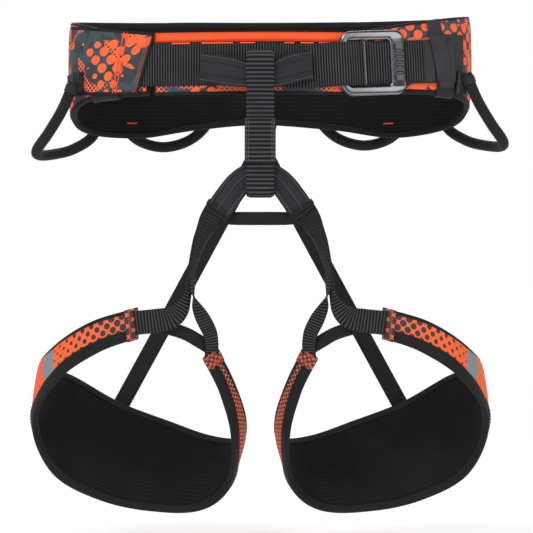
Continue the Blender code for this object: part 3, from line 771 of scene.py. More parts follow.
# ---- the belt's surface ----------------------------------------------------------------
ARC_LENGTH = FRONT_RADIUS * ARC_ANGLE
HIP_LENGTH = HIP_RADIUS * (math.pi - 2 * ARC_ANGLE)
HALF_GIRTH = 2 * ARC_LENGTH + HIP_LENGTH
HIP_X = (FRONT_RADIUS - HIP_RADIUS) * math.sin(ARC_ANGLE)
ARC_CENTRE_Y = (FRONT_RADIUS - HIP_RADIUS) * math.cos(ARC_ANGLE)
FRONT_Y = ARC_CENTRE_Y - FRONT_RADIUS
PRESSED = 175.0          # mm each way from the front's middle, where the straps hold the belt flat


def belt(along, height, out):
    """Points of the belt; along runs from 0 at the back's middle to +-HALF_GIRTH at the front's middle."""
    along, height, out = np.broadcast_arrays(np.asarray(along, float), height, out)
    s = np.abs(along)
    side = np.where(along >= 0, 1.0, -1.0)
    back, hip = s < ARC_LENGTH, (s >= ARC_LENGTH) & (s < ARC_LENGTH + HIP_LENGTH)
    beyond = np.where(hip, ARC_ANGLE + (s - ARC_LENGTH) / HIP_RADIUS, (HALF_GIRTH - s) / FRONT_RADIUS)
    angle = np.where(back, s / FRONT_RADIUS, beyond)
    reach = np.where(hip, HIP_RADIUS, FRONT_RADIUS) + out
    x = np.where(hip, HIP_X, 0.0) + np.sin(angle) * reach
    y = np.where(hip, 0.0, np.where(back, -ARC_CENTRE_Y, ARC_CENTRE_Y))
    y = y + np.cos(angle) * reach * np.where(back | hip, 1.0, -1.0)
    return np.stack([BELT_X + side * x, y, height], axis=-1)


def from_middle(x):
    """The belt's length between its middle and a place at x, on the front or the back arc."""
    return FRONT_RADIUS * math.asin(abs(x - BELT_X) / FRONT_RADIUS)


def along_at(x):
    """How far round the belt the place at x on its front arc is."""
    return (1 if x > BELT_X else -1) * (HALF_GIRTH - from_middle(x))


def front(x, height, out):
    """Points of the belt's front arc at x."""
    x, height, out = np.broadcast_arrays(np.asarray(x, float), height, out)
    angle = np.arcsin((x - BELT_X) / FRONT_RADIUS)
    reach = FRONT_RADIUS + out
    return np.stack([BELT_X + reach * np.sin(angle), ARC_CENTRE_Y - reach * np.cos(angle), height], axis=-1)


def strap_height(x):
    """Height of the buckled strap's middle line."""
    return -8.5 + (x - 40.0) * math.tan(STRAP_TILT)


def base_height(x):
    """Height of the waist webbing's middle line."""
    return strap_height(x) if x > 40 else -6.0 - max(0.0, x) * 0.0625


def pad_outline():
    """(along, low edge, high edge) of the main pad, from its left end in front round to its right one."""
    hips = [ARC_LENGTH + HIP_LENGTH * share for share in (0.20, 0.50, 0.80)]
    return [
        (along_at(-112), -36.0, 26.0), (along_at(-150), -37.5, 29.0), (-hips[2], -42.0, 36.0),
        (-hips[1], -56.0, 42.0), (-hips[0], -69.0, 46.0), (-140.0, -72.0, 48.0), (-80.0, -63.0, 49.5),
        (-10.0, -57.0, 50.0), (70.0, -63.0, 50.0), (135.0, -71.5, 50.0), (hips[0], -62.0, 50.0),
        (hips[1], -46.0, 48.0), (hips[2], -36.0, 44.0), (along_at(155), -34.0, 37.0),
        (along_at(98), -35.5, 26.0),
    ]


def belt_pad():
    """The belt's main pad, which also knows how far round the belt each of its stations is."""
    rows = spline(pad_outline())
    count = 170
    along = np.linspace(rows[0, 0], rows[-1, 0], count)
    low, high = (np.interp(along, rows[:, 0], rows[:, k]) for k in (1, 2))

    def surface(i, share, out):
        return belt(along[i], low[i] + (high[i] - low[i]) * share, out)

    free = np.where(HALF_GIRTH - np.abs(along) < PRESSED, 0.25, 1.5)[:, None]
    pad = Pad("belt_pad", surface, count, -4.4, 3.9, along[-1] - along[0], (low, high), free)
    pad.along = along
    return pad


def belt_share(pad, along):
    """The share of the belt pad's length at which its along has this value."""
    return (along - pad.along[0]) / (pad.along[-1] - pad.along[0])


# ---- leg loops -------------------------------------------------------------------------
HIP_EDGE = [
    (-122.0, -82.0, -250.0), (-168.8, -73.0, -264.0), (-208.0, -40.0, -289.0), (-223.0, 8.0, -309.0),
    (-196.0, 58.0, -325.0), (-150.0, 80.0, -353.0), (-98.0, 82.0, -373.0), (-54.0, 66.0, -387.0),
    (-22.0, 34.0, -387.0), (-16.0, -6.0, -364.0), (-27.0, -42.0, -326.0), (-44.0, -64.0, -290.0),
]
KNEE_EDGE = [
    (-122.0, -78.0, -279.0), (-161.8, -73.0, -293.0), (-204.0, -56.0, -322.0), (-232.0, -20.0, -368.0),
    (-214.0, 12.0, -421.0), (-168.0, 34.0, -450.0), (-112.0, 42.0, -463.0), (-62.0, 30.0, -460.0),
    (-33.0, 4.0, -434.0), (-28.0, -28.0, -386.0), (-40.0, -54.0, -336.0), (-57.0, -68.0, -300.0),
]
LEG_HEART = np.array((-125.0, 0.0, -365.0))   # a point inside the leg loop


def leg_pad():
    """The left leg loop's pad, between its hip edge and its knee edge."""
    hip, knee = spline(HIP_EDGE, 40), spline(KNEE_EDGE, 40)
    both, far = even(np.hstack([(hip + knee) / 2, hip, knee]), 5.2)
    middle, hip, knee = np.split(both, 3, axis=1)
    across = hip - knee
    width = np.linalg.norm(across, axis=1)
    away = unit(np.cross(tangents(middle), across))
    away *= np.sign(np.sum(away * (middle - LEG_HEART), axis=1))[:, None]

    def surface(i, share, out):
        return knee[i] + np.outer(share, across[i]) + np.outer(out, away[i])

    return Pad("left_leg_pad", surface, len(hip), 0.0, 3.5, far[-1], (-width / 2, width / 2), 2.0)


def leg(name, pad):
    """A leg loop's pad with its printed face, edge tapes and stitching."""
    body = name + "_leg"
    rides(pad.body("mesh"), body, name + "_leg_foam", name + "_leg_lining")
    face = (pad.low(9.0), pad.high(2.0))
    cloth = pad.sheet(name + "_leg_cloth", (0.012, 0.988), face, (0.05, 0.45), "leg", (160, 24))
    rides(cloth, body, name + "_leg_face")
    rides(pad.tape(name + "_leg_knee_tape", pad.low, 10.5, 8.0, (0.1, 1.0)), body, name + "_leg_binding")
    rides(pad.tape(name + "_leg_hip_tape", pad.high, 3.2, 6.0, (0.1, 0.9)), body)
    lines = ((pad.low(9.3), 1.0), (pad.high(2.6), 0.9), (pad.low(-6.6), 1.0), (pad.high(-4.8), 0.9))
    runs = [pad.run((0.01, 0.99), line, lift, 200) for line, lift in lines]
    stitches(name + "_leg_stitches", runs, "black_thread", body, pitch=4.0, length=2.8)


# ---- studio ----------------------------------------------------------------------------
ROOM_LIGHT = 0.62        # the room's brightness for everything but the camera
LAMPS = (                # name, place from the object's middle, power in watts, size; metres
    ("key", (-0.9, -1.7, 1.1), 22.0, 0.9),
    ("fill", (1.4, -1.4, 0.5), 9.0, 1.4),
    ("back", (0.3, 1.5, 1.2), 12.0, 1.2),
)
CAMERA_PLACE = (6.2, -2600.0, -208.0)     # in drawing mm; it looks straight along y
LENS, SENSOR = 170.5, 36.0
CLIP_START, CLIP_END = 0.05, 200.0
FLOOR_REACH = 30.0
FLOOR_GAP = 0.03         # between the object and the floor


def room_light(scene):
    """A white room that the camera sees at full brightness, and that lights the object more gently."""
    world_look = bpy.data.worlds.new("pale_room")
    scene.world = world_look
    world_look.use_nodes = True
    tree = world_look.node_tree
    path = tree.nodes.new("ShaderNodeLightPath")
    strength = tree.nodes.new("ShaderNodeMapRange")
    strength.inputs[3].default_value = ROOM_LIGHT
    strength.inputs[4].default_value = 1.0
    tree.links.new(path.outputs["Is Camera Ray"], strength.inputs[0])
    tree.links.new(strength.outputs[0], tree.nodes["Background"].inputs[1])
    tree.nodes["Background"].inputs[0].default_value = (1.0, 1.0, 1.0, 1.0)


def pale_floor(height):
    """A floor that is lit near the object and turns as white as the room further out."""
    corners = [(x * FLOOR_REACH, y * FLOOR_REACH, 0) for x, y in ((-1, -1), (1, -1), (1, 1), (-1, 1))]
    mesh = bpy.data.meshes.new("floor")
    mesh.from_pydata(corners, [], [(0, 1, 2, 3)])
    paint = Shader("pale_floor")
    white = paint.step(paint.length(paint.place()), 0.75, 0.9)
    paint.finish(paint.mix(white, (0.62, 0.62, 0.62), (0, 0, 0)), 0.9)
    paint.put(paint.surface.inputs["Emission Color"], (1.0, 1.0, 1.0, 1.0))
    paint.put(paint.surface.inputs["Emission Strength"], paint.spread(white, 0.42, 1.0))
    mesh.materials.append(paint.material)
    ground = placed("floor", mesh)
    ground.location = (0, 0, height)


def studio():
    """Room, floor and lamps, and a camera where the photo's was."""
    scene = bpy.context.scene
    room_light(scene)
    scene.view_settings.view_transform = "Standard"
    low, high = (np.array(c) for c in CAD_BOX)
    middle = Vector((low + high) / 2)
    pale_floor(low[2] - FLOOR_GAP)
    for name, place, power, size in LAMPS:
        lamp = bpy.data.lights.new(name, "AREA")
        lamp.energy = power
        lamp.size = size
        light = placed(name, lamp)
        light.location = Vector(place) + middle
        light.rotation_euler = (middle - light.location).to_track_quat("-Z", "Y").to_euler()

    eye = bpy.data.cameras.new("camera")
    eye.sensor_width = SENSOR
    eye.lens = LENS
    eye.clip_start = CLIP_START
    eye.clip_end = CLIP_END
    camera = placed("camera", eye)
    camera.location = world(CAMERA_PLACE)
    camera.rotation_euler = (math.pi / 2, 0.0, 0.0)
    scene.camera = camera


# ---- front of the belt -----------------------------------------------------------------
TONGUE_SPAN = (-107.0, 90.5)
TACK_HEIGHT, TACK_HALF = -56.0, 5.2
TOP_EDGE_SPANS = ((-88, -70), (-58, -27), (-20, -5), (24, 34), (40, 53), (58, 70), (74, 82))
TAIL_FOLDS = (           # start and end in x, out from the belt, wider than the strap, ply
    ("hem", 186.5, 195.0, 2.7, 1.0, 2.6),
    ("fold", 164.5, 173.5, 3.1, 0.4, 1.6),
)


def front_stations(xs, height, out, width, tilt=0.0):
    """Strap stations along the belt's front; height may be a function of x."""
    rows = []
    for x in xs:
        z = height(x) if callable(height) else height
        rows.append((*front(x, z, out), -math.sin(tilt), 0.0, math.cos(tilt), width))
    return rows


def strap_stations(xs, out, width=WEBBING):
    """Stations along the line of the buckled strap."""
    return front_stations(xs, strap_height, out, width, STRAP_TILT)


def front_pad(name, low, high, middle, half, count):
    """A pad as long as the tongue, between two heights."""
    xs = np.linspace(*TONGUE_SPAN, count)

    def surface(i, share, out):
        return front(np.full(len(share), xs[i]), low + (high - low) * share, out)

    heights = (np.full(count, low), np.full(count, high))
    return Pad(name, surface, count, middle, half, xs[-1] - xs[0], heights, 0.5)


def belt_body(pad):
    """The belt's pad with its printed face, edge tapes and stitching."""
    rides(pad.body("mesh"), WAIST, "waist_lining", "waist_foam")
    face = (pad.low(3.4), pad.high(1.6))
    rides(pad.sheet("belt_face", (0.004, 0.996), face, (0.05, 0.4), "belt", (330, 30)), WAIST, "waist_face")
    rides(pad.tape("belt_low_tape", pad.low, 4.2, 6.0, (0.1, 0.75), (330, 12)), WAIST, "waist_binding")
    rides(pad.tape("belt_high_tape", pad.high, 2.2, 6.0, (0.1, 0.75), (330, 12)), WAIST)
    lines = (pad.low(3.5), pad.high(1.9), pad.low(-5.2), pad.high(-5.2))
    runs = [pad.run((0.005, 0.995), line, 0.75, 400) for line in lines]
    stitches("belt_edge_stitches", runs, "black_thread", WAIST, pitch=4.0, length=2.8)


def lining_bartacks(pad):
    """Short rows of coloured thread inside the back of the belt, and the tabs under the hips."""
    runs = []
    for x in (-138.0, 137.0):
        middle = belt_share(pad, math.copysign(from_middle(x), x - BELT_X))
        share = middle + np.linspace(-TACK_HALF, TACK_HALF, 34) / (pad.along[-1] - pad.along[0])
        heights = TACK_HEIGHT + zigzag(34, 0.9)
        around = np.array([1.0 - pad.level(z)(a) for z, a in zip(heights, share)])
        points, _, normals = pad.sample(share, around, 0.1)
        runs.append((points, normals))
    stitches("lining_bartacks", runs, "orange_thread", WAIST, "orange_trim", 1.2, 1.3, 0.4)
    for name, x, away in (("left", -143.0, 30.0), ("right", 178.0, 20.0)):
        start = along_at(x)
        ends = sorted((belt_share(pad, start), belt_share(pad, start - math.copysign(away, start))))
        span = (pad.low(-5.0), pad.low(13.0))
        rides(pad.sheet(name + "_hip_tab", ends, span, (0.8, 2.4), "sleeve", (24, 14), 0.6), WAIST)


def belt_front():
    """The tongue and its trim, the waist webbing, and the strap from the buckle to its tail."""
    tongue = front_pad("tongue_pad", -35.9, 14.1, -2.75, 2.3, 44)
    rides(tongue.body("mesh"), WAIST, "front_tongue", slot="edge_tape")
    face = (tongue.low(2.0), tongue.high(2.0))
    rides(tongue.sheet("tongue_face", (0.01, 0.99), face, (0.02, 0.22), "belt", (90, 16)), WAIST)
    rides(tongue.tape("tongue_low_tape", tongue.low, 2.6, 4.0, (0.05, 0.6), (120, 10)), WAIST)

    trim = front_pad("trim_roll", 16.5, 25.3, -2.4, 2.8, 60)
    rides(trim.body("trim"), WAIST, "front_trim")
    runs = [trim.run((0.005, 0.995), around, 0.05, 120) for around in (0.06, 0.44)]
    stitches("trim_stitches", runs, "orange_thread", WAIST, "orange_trim", 2.3, 1.9, 0.42)
    for count, span in enumerate(TOP_EDGE_SPANS, 1):
        edge = front_stations(np.linspace(*span, 4), 14.6, 1.75, 1.5)
        name = f"webbing_top_edge_{count}"
        strap(name, edge, 0.5, "trim", WAIST, slot="printed_fabric", ribs=PLAIN, step=1.0)

    base = front_stations(range(-150, 78, 14), base_height, 0.8, WEBBING)
    strap("waist_webbing", base, 1.35, "webbing", WAIST)
    strap("buckle_anchor_webbing", strap_stations(range(88, 171, 12), 0.8), 1.35, "webbing", WAIST)
    climb = [(43, 2.7), (58, 2.7), (66, 4.0), (75, 7.2), (85, 8.2), (92, 6.4), (97, 5.4), (101, 5.2)]
    rows = [strap_stations([x], out)[0] for x, out in climb]
    strap("front_strap", rows, 1.25, "webbing", WAIST)
    strap("strap_tail", strap_stations(np.linspace(104.5, 194.0, 9), 2.5), 1.25, "webbing", "strap_tail")
    shape = dict(slot="black_webbing", ribs=PLAIN, step=1.2)
    for name, start, end, out, wider, ply in TAIL_FOLDS:
        rows = strap_stations(np.linspace(start, end, 4), out, WEBBING + wider)
        strap("strap_tail_" + name, rows, ply, "keeper", "strap_tail", **shape)


KEEPER_X = 178.0
KEEPER_SPAN = (170.5, 185.7)
KEEPER_SHIFT = 3.0
KEEPER_LEAN = 0.2        # sideways for each mm down
TOP_BAND_X, TOP_BAND_WIDTH = 176.0, 15.2
TOP_BAND_FOLD = 31.0     # the height above which the band bends towards the belt's edge
SIDE_BAND = (177.0, 205.5)
HALF = WEBBING / 2 + 5.0
KEEPER_OUTLINE = (       # out from the belt, and up from the sleeve's middle
    (0.3, HALF), (4.6, HALF - 0.3), (5.5, HALF - 1.8), (5.7, 0.0), (5.5, 1.8 - HALF), (4.6, 0.3 - HALF),
    (0.3, -HALF), (0.3, 1.5 - HALF), (4.3, 1.9 - HALF), (4.5, 0.0), (4.3, HALF - 1.9), (0.3, HALF - 1.5),
)


def keeper(pad):
    """The elastic sleeve over the strap's tail, open towards the belt, and where it is sewn to the belt."""
    dense = []
    for (out, z), (next_out, next_z) in zip(KEEPER_OUTLINE, KEEPER_OUTLINE[1:] + KEEPER_OUTLINE[:1]):
        dense += [(out + (next_out - out) * f, z + (next_z - z) * f) for f in (0.0, 0.25, 0.5, 0.75)]
    out, z = np.array(dense).T
    rings, uv = [], []
    for x in np.linspace(*KEEPER_SPAN, 14):
        lean = x + KEEPER_SHIFT - KEEPER_LEAN * z
        round_belt = HALF_GIRTH - FRONT_RADIUS * np.arcsin((lean - BELT_X) / FRONT_RADIUS)
        rings.append(belt(round_belt, strap_height(x) + z, out))
        uv.append(np.stack([np.full(len(z), x), z], axis=1) * MM)
    rides(loft("strap_keeper", rings, "keeper", np.array(uv)), WAIST)
    rows = []
    for z in np.linspace(24.6, 40.5, 6):
        round_belt = HALF_GIRTH - (TOP_BAND_X - KEEPER_LEAN * (z - strap_height(KEEPER_X)))
        out = 1.0 - 0.016 * max(0.0, z - TOP_BAND_FOLD) ** 2
        here, ahead = belt(round_belt, z, out), belt(round_belt + 1.0, z, out)
        rows.append((*here, *unit(ahead - here), TOP_BAND_WIDTH))
    strap("keeper_top_band", rows, 1.4, "keeper", WAIST, ribs=PLAIN, step=1.2)
    ends = sorted(belt_share(pad, HALF_GIRTH - far) for far in SIDE_BAND)
    span = (pad.level(-15.5), pad.level(26.0))
    rides(pad.sheet("keeper_side_band", ends, span, (0.3, 1.5), "keeper", (30, 30), 0.4), WAIST)


PANEL_START = -113.0     # x of the panel's front edge
PANEL_LENGTH = 92.0
PANEL_HEIGHT = 62.0
PANEL_RISE = 0.07        # of its middle line, and
PANEL_SPREAD = 0.10      # growth in height, both for each mm along
PANEL_SLANT = 0.30       # of its front edge, for each mm up
PANEL_WHOLE = (0.0, 1.0)


def panel_at(share, rise, out):
    """Points of the cover panel, and their cloth coordinates in mm."""
    along = along_at(PANEL_START) + share * PANEL_LENGTH
    tall = PANEL_HEIGHT + PANEL_SPREAD * share * PANEL_LENGTH
    height = -5.5 + PANEL_RISE * share * PANEL_LENGTH + (rise - 0.5) * tall
    return belt(along - PANEL_SLANT * height * (1 - share), height, out), along, height


def panel_sheet(name, shares, rises, inner, outer, cloth, counts):
    """A layer of the cover panel, between two distances out from the belt."""
    share, rise = np.meshgrid(np.linspace(*shares, counts[0]), np.linspace(*rises, counts[1]), indexing="ij")
    ripple = 0.25 * np.sin(share * 21 + rise * 5) * np.sin(math.pi * rise) + 0.5 * np.sin(math.pi * rise)
    top, along, height = panel_at(share, rise, outer + ripple)
    under = panel_at(share, rise, inner + ripple)[0]
    uv = np.stack([along, height], axis=2) * MM
    rings = np.concatenate([top, under[:, ::-1]], axis=1)
    rides(loft(name, rings, cloth, np.concatenate([uv, uv[:, ::-1]], axis=1)), WAIST)


def cover_panel():
    """The printed flap round the left hip, with a slanted front edge and a double seam."""
    panel_sheet("left_cover_panel", PANEL_WHOLE, (0.015, 0.985), 2.1, 2.7, "belt", (90, 34))
    panel_sheet("cover_top_tape", PANEL_WHOLE, (0.955, 1.0), 2.0, 3.2, "tape", (70, 5))
    panel_sheet("cover_low_tape", PANEL_WHOLE, (0.0, 0.05), 2.0, 3.2, "tape", (70, 5))
    panel_sheet("cover_edge_tape", (-0.012, 0.012), PANEL_WHOLE, 2.0, 3.2, "tape", (5, 40))
    rise = np.linspace(0.05, 0.95, 60)
    for label, share in (("edge", 0.030), ("edge_inner", 0.055)):
        points = panel_at(share, rise, 3.4)[0]
        runs = [(points, unit(points - panel_at(share, rise, 2.4)[0]))]
        stitches(f"cover_{label}_stitches", runs, "orange_thread", WAIST, "orange_trim", 2.6, 1.9)
    for share in (0.275, 0.315):
        name = f"cover_seam_{int(share * 1000)}"
        panel_sheet(name, (share, share + 0.010), (0.03, 0.97), 2.7, 3.25, "trim", (4, 50))


# ---- buckle ----------------------------------------------------------------------------
BUCKLE_X = 112.0
BUCKLE_HALF = 32.3
GRIP_PITCH = 5.4         # mm between the plain grip ridges on the buckle's limb
BAR_REACH = 22.3         # the locking bar's, each way from the strap's middle line
CORNER_POINTS, EDGE_POINTS = 14, 70


def buckle_point(right, up, out):
    """Points on the buckle's own axes, which follow the strap's slope and the belt's curve."""
    x = BUCKLE_X + right * math.cos(STRAP_TILT) - up * math.sin(STRAP_TILT)
    z = strap_height(BUCKLE_X) + right * math.sin(STRAP_TILT) + up * math.cos(STRAP_TILT)
    return front(x, z, out)


def rounded_ring(left, right, bottom, top, radius):
    """Matching points round a rectangle with round corners: corner arcs joined by evenly divided edges."""
    corners = ((right, top, 0), (left, top, 90), (left, bottom, 180), (right, bottom, 270))
    arcs = []
    for x, y, start in corners:
        cx, cy = (x - radius if x == right else x + radius), (y - radius if y == top else y + radius)
        angle = np.radians(start + 90 * np.linspace(0, 1, CORNER_POINTS))
        arcs.append(np.stack([cx + radius * np.cos(angle), cy + radius * np.sin(angle)], axis=1))
    points = []
    share = np.linspace(0, 1, EDGE_POINTS + 2)[1:-1, None]
    for arc, after in zip(arcs, arcs[1:] + arcs[:1]):
        points += [arc, arc[-1] * (1 - share) + after[0] * share]
    return np.vstack(points)


def buckle():
    """A forged frame with a broad grip limb on its right, and the bar that pinches the strap."""
    half = BUCKLE_HALF
    outer = rounded_ring(-half, half, -half, half, 11.0)
    inner = rounded_ring(-half + 7.0, half - 15.5, -half + 9.5, half - 9.5, 4.0)
    share = np.linspace(0, 1, 19)[None, :]
    right, up = (inner[:, k:k + 1] * (1 - share) + outer[:, k:k + 1] * share for k in (0, 1))
    limb = np.clip((right - (half - 17.0)) / 5.0, 0, 1) * np.clip((half - 8 - np.abs(up)) / 6.0, 0, 1)
    dome = np.clip(1 - np.abs(2 * share - 1) ** 3, 0, 1) ** 0.6
    ridges = 0.45 * np.clip(3 * np.cos(2 * math.pi * up / GRIP_PITCH), -1, 1) * limb
    ridges = ridges * np.clip((2.5 * GRIP_PITCH - np.abs(up)) / 1.5, 0, 1)
    ridges = ridges * np.clip((0.30 - np.abs(share - 0.5)) * 12, 0, 1)
    top = buckle_point(right, up, 4.2 + dome * (2.0 + 1.4 * limb) + ridges)
    under = buckle_point(right, up, np.full_like(right, 3.8))[:, ::-1]
    # the first cloth coordinate marks the grip limb, where the metal's colour is painted darker as a
    # reflection of the dark side of the room
    face = np.stack([limb, np.broadcast_to(share, limb.shape)], axis=2)
    uv = np.concatenate([face, np.zeros_like(face)], axis=1)
    rides(loft("buckle_frame", np.concatenate([top, under], axis=1), "metal", uv, closed=True), WAIST)

    angle = np.linspace(0, 2 * math.pi, 16, endpoint=False)
    rings = []
    for up in np.linspace(-BAR_REACH, BAR_REACH, 40):
        slim = min(1.0, 0.55 + (BAR_REACH - abs(up)) * 0.25)
        right = -9.5 + 1.5 * slim * np.cos(angle)
        rings.append(buckle_point(right, np.full(16, up), 7.6 + 1.15 * slim * np.sin(angle)))
    rides(loft("buckle_locking_bar", rings, "bar"), "locking_bar")


# ---- tie-in loops and belay loop -------------------------------------------------------
def path_run(stations, side, out_by, part=(0.02, 0.98), inset=1.6):
    """A row of stitches along a strap's edge. side is -1 or 1; out_by is how far off its middle surface."""
    middle, across, out, width, _ = kept(strap_frames(stations, 1.5), part)
    half = width[:, None] / 2 - inset
    return middle + across * side * half + out * out_by, out * np.sign(out_by)


def facing(stations, y):
    """1 or -1: the way off the strap that looks along y."""
    out = strap_frames(stations, 5.0)[2]
    return math.copysign(1.0, out[len(out) // 2][1] * y)


def ahead_of(y, rows):
    """Stations whose y is measured from this one."""
    return [(row[0], y + row[1], *row[2:]) for row in rows]


def upper_tie_in():
    """The tie-in loop on the belt, with its wear sleeves."""
    left = [
        (-59.0, FRONT_Y - 5.6, -10.5, 0, 0, 1, 27.0), (-50.0, FRONT_Y - 7.2, -11.5, 0, 0, 1, 27.0),
        (-30.0, BELAY_Y + 5.0, -15.0, 0, 0, 1, 27.0), (-15.0, BELAY_Y + 1.0, -18.2, 0, 0, 1, 24.0),
        (0.0, BELAY_Y, -19.0, 0, 0, 1, 20.0),
    ]
    right = [(-x - 8.0 * (x < -40), y, z + 2.5 * (x < -20), *rest) for x, y, z, *rest in left[-2::-1]]
    stations = left + right
    strap("upper_tie_in_loop", stations, 2.8, "webbing", WAIST)
    way = facing(stations, -1)
    narrow = [(*row[:6], row[6] * 0.52) for row in stations]
    for name, part in (("left", (0.0, 0.435)), ("right", (0.565, 1.0))):
        shape = dict(ribs=PLAIN, step=1.2, crown=way * 0.9, part=part)
        strap("upper_sleeve_" + name, stations, 1.1, "sleeve", WAIST, "upper_tie_in_sleeve_" + name,
              lift=way * 2.5, wider=1.6, **shape)
        strap("upper_ridge_" + name, narrow, 1.0, "sleeve", WAIST, lift=way * 3.7, **shape)
        runs = [path_run(stations, side, way * 3.35, part) for side in (-1, 1)]
        stitches("upper_sleeve_stitches_" + name, runs, "grey_thread", WAIST, "wear_sleeve")


def stadium(y, top, bottom, ply, gap, step):
    """A closed hanging path in the plane of y and z: points and outward directions, at equal distances."""
    points, outs = [], []
    for centre, start in ((top - ply / 2 - gap, 0.0), (bottom + ply / 2 + gap, math.pi)):
        for angle in np.linspace(start, start + math.pi, 40):
            outs.append((0, math.cos(angle), math.sin(angle)))
            points.append((0, y + gap * math.cos(angle), centre + gap * math.sin(angle)))
    path = np.hstack([np.array(points + points[:1]), np.array(outs + outs[:1])])
    path, along = even(path, step)
    return path[:-1, :3], unit(path[:-1, 3:6]), along[:-1]


def ring_strap(name, body, y, top, bottom, width, ply, gap, cloth, ribs):
    """A hanging loop of webbing with a whole number of ribs."""
    middle, out, along = stadium(y, top, bottom, ply, gap, ribs[0] / 8)
    across = np.tile((1.0, 0, 0), (len(middle), 1))
    length = along[-1] + along[1]
    pitch = length / round(length / ribs[0])
    rings, uv = strap_rings(middle, across, out, np.full(len(middle), width), ply, (pitch, ribs[1]), along)
    rides(loft(name, rings, cloth, uv, closed=True), body)


BELAY_GAP = 9.9          # from the belay loop's middle to its webbing
COVER_TOP, COVER_BOTTOM = -62.0, -107.0


def belay_loop():
    """The belay loop and the bar-tacked cover over its join."""
    ends = (BELAY_TOP, BELAY_BOTTOM)
    ring_strap("belay_loop", LOWER, BELAY_Y, *ends, 27.4, 2.9, BELAY_GAP, "belay", (4.15, 0.4))
    front_y = BELAY_Y - BELAY_GAP - 2.6
    stations = [(0.0, front_y, z, 1, 0, 0, 30.6) for z in np.linspace(COVER_TOP, COVER_BOTTOM, 4)]
    strap("belay_loop_cover", stations, 1.3, "belay", LOWER, slot="wear_sleeve", ribs=(4.15, 0.25))
    heights = np.linspace(COVER_TOP - 1.5, COVER_BOTTOM + 1.5, 43)
    forward = np.tile((0, -1, 0), (43, 1))
    runs = []
    for x in (-13.6, -11.6, 11.6, 13.6):
        points = np.stack([x + zigzag(43, 0.5), np.full(43, front_y - 0.95), heights], axis=1)
        runs.append((points, forward))
    stitches("belay_cover_stitches", runs, "grey_thread", LOWER, pitch=1.9, length=1.7, radius=0.3)


ARCH = ahead_of(BELAY_Y, [
    (-43.5, 6.0, -155.5, -0.85, 0, 0.53, 24.0), (-33.4, 3.5, -141.6, -0.78, 0, 0.62, 24.6),
    (-22.5, 1.4, -127.5, -0.62, 0, 0.78, 24.0), (-11.0, 0.2, -119.0, -0.35, 0, 0.94, 23.5),
    (0.0, 0.0, -116.3, 0, 0, 1, 23.0),
])


def lower_tie_in():
    """The tie-in loop over the legs, with its wear sleeves, piping and end cuffs, and the bridge strap."""
    stations = both_halves(ARCH)
    strap("lower_tie_in_loop", stations, 2.8, "webbing", LOWER)
    way = facing(stations, -1)
    for name, part, cuff in (("left", (0.02, 0.435), (0.02, 0.07)), ("right", (0.565, 0.98), (0.93, 0.98))):
        inner = (part[0] + 0.01, part[1] - 0.01)
        strap("lower_sleeve_" + name, stations, 1.1, "sleeve", LOWER, "lower_tie_in_sleeve_" + name,
              ribs=PLAIN, step=1.0, lift=way * 2.5, wider=1.4, crown=way * 0.9, part=part)
        for label, reach in (("m9_5", -9.5), ("10_5", 10.5), ("1_5", 1.5)):
            edge = [tuple(np.add(row[:3], np.multiply(row[3:6], reach))) for row in stations]
            path = even(spline(edge), 1.0)[0]
            share = np.linspace(0, 1, len(path))
            pipe = path[(share >= inner[0]) & (share <= inner[1])] + (0, -4.1, 0)
            # the piping is painted lighter than the sleeves, a painted highlight along their ridges
            rides(tube(f"lower_piping_{name}_{label}", pipe[::4], 0.9, "piping", height=0.0, sides=10), LOWER)
        strap("lower_cuff_" + name, stations, 1.7, "tape", LOWER, slot="wear_sleeve",
              ribs=PLAIN, step=0.7, lift=way * 2.9, wider=4.2, crown=way * 0.9, part=cuff)
        runs = [path_run(stations, side, way * 3.5, inner) for side in (-1, 1)]
        stitches("lower_sleeve_stitches_" + name, runs, "grey_thread", LOWER, "wear_sleeve")
    half = [(x, BELAY_Y + 10.5, -160.4, 0, 0, 1, w) for x, w in ((-35.0, 11.5), (-24.0, 13.0), (0.0, 13.2))]
    strap("bridge_strap", both_halves(half), 2.0, "tape", LOWER, slot="black_webbing", ribs=(2.2, 0.1))


# ---- leg straps and risers -------------------------------------------------------------
RISER = ahead_of(BELAY_Y, [
    (-43.0, 9.6, -150.0, -0.85, 0, 0.53, 21.0), (-49.5, 9.6, -161.0, -0.78, -0.30, 0.40, 21.5),
    (-54.5, 10.0, -171.0, -0.68, -0.55, 0.25, 21.0), (-60.5, 11.0, -184.0, -0.60, -0.75, 0.1, 20.0),
    (-67.0, 13.0, -207.0, -0.45, -0.9, 0, 18.0), (-70.0, 14.0, -225.0, -0.35, -0.95, 0, 16.0),
])
LATERAL = ahead_of(BELAY_Y, [
    (-71.0, 13.5, -233.0, -0.35, -0.9, 0.1, 16.0), (-77.0, 13.0, -248.0, -0.35, -0.6, 0.7, 19.0),
    (-88.0, 16.0, -258.5, -0.1, -0.3, 0.95, 22.5), (-103.0, 20.0, -262.0, 0, -0.1, 1, 24.0),
    (-117.0, 22.5, -263.5, 0, -0.05, 1, 24.0), (-125.0, 23.0, -264.5, 0, -0.05, 1, 24.0),
])
MEDIAL = ahead_of(BELAY_Y, [
    (-66.5, 16.5, -219.0, -0.4, -0.9, 0, 13.0), (-67.4, 16.5, -231.5, -0.3, -0.95, 0, 14.0),
    (-63.0, 18.0, -247.0, 0.5, -0.7, 0.3, 15.0), (-56.5, 23.0, -261.0, 0.8, -0.3, 0.45, 15.5),
    (-50.5, 31.0, -274.0, 0.9, 0.1, 0.25, 14.5), (-48.5, 37.0, -285.0, 0.9, 0.1, 0.2, 13.5),
    (-49.0, 41.0, -293.0, 0.9, 0.1, 0.2, 13.5), (-49.8, 45.0, -301.0, 0.9, 0.1, 0.2, 13.5),
])
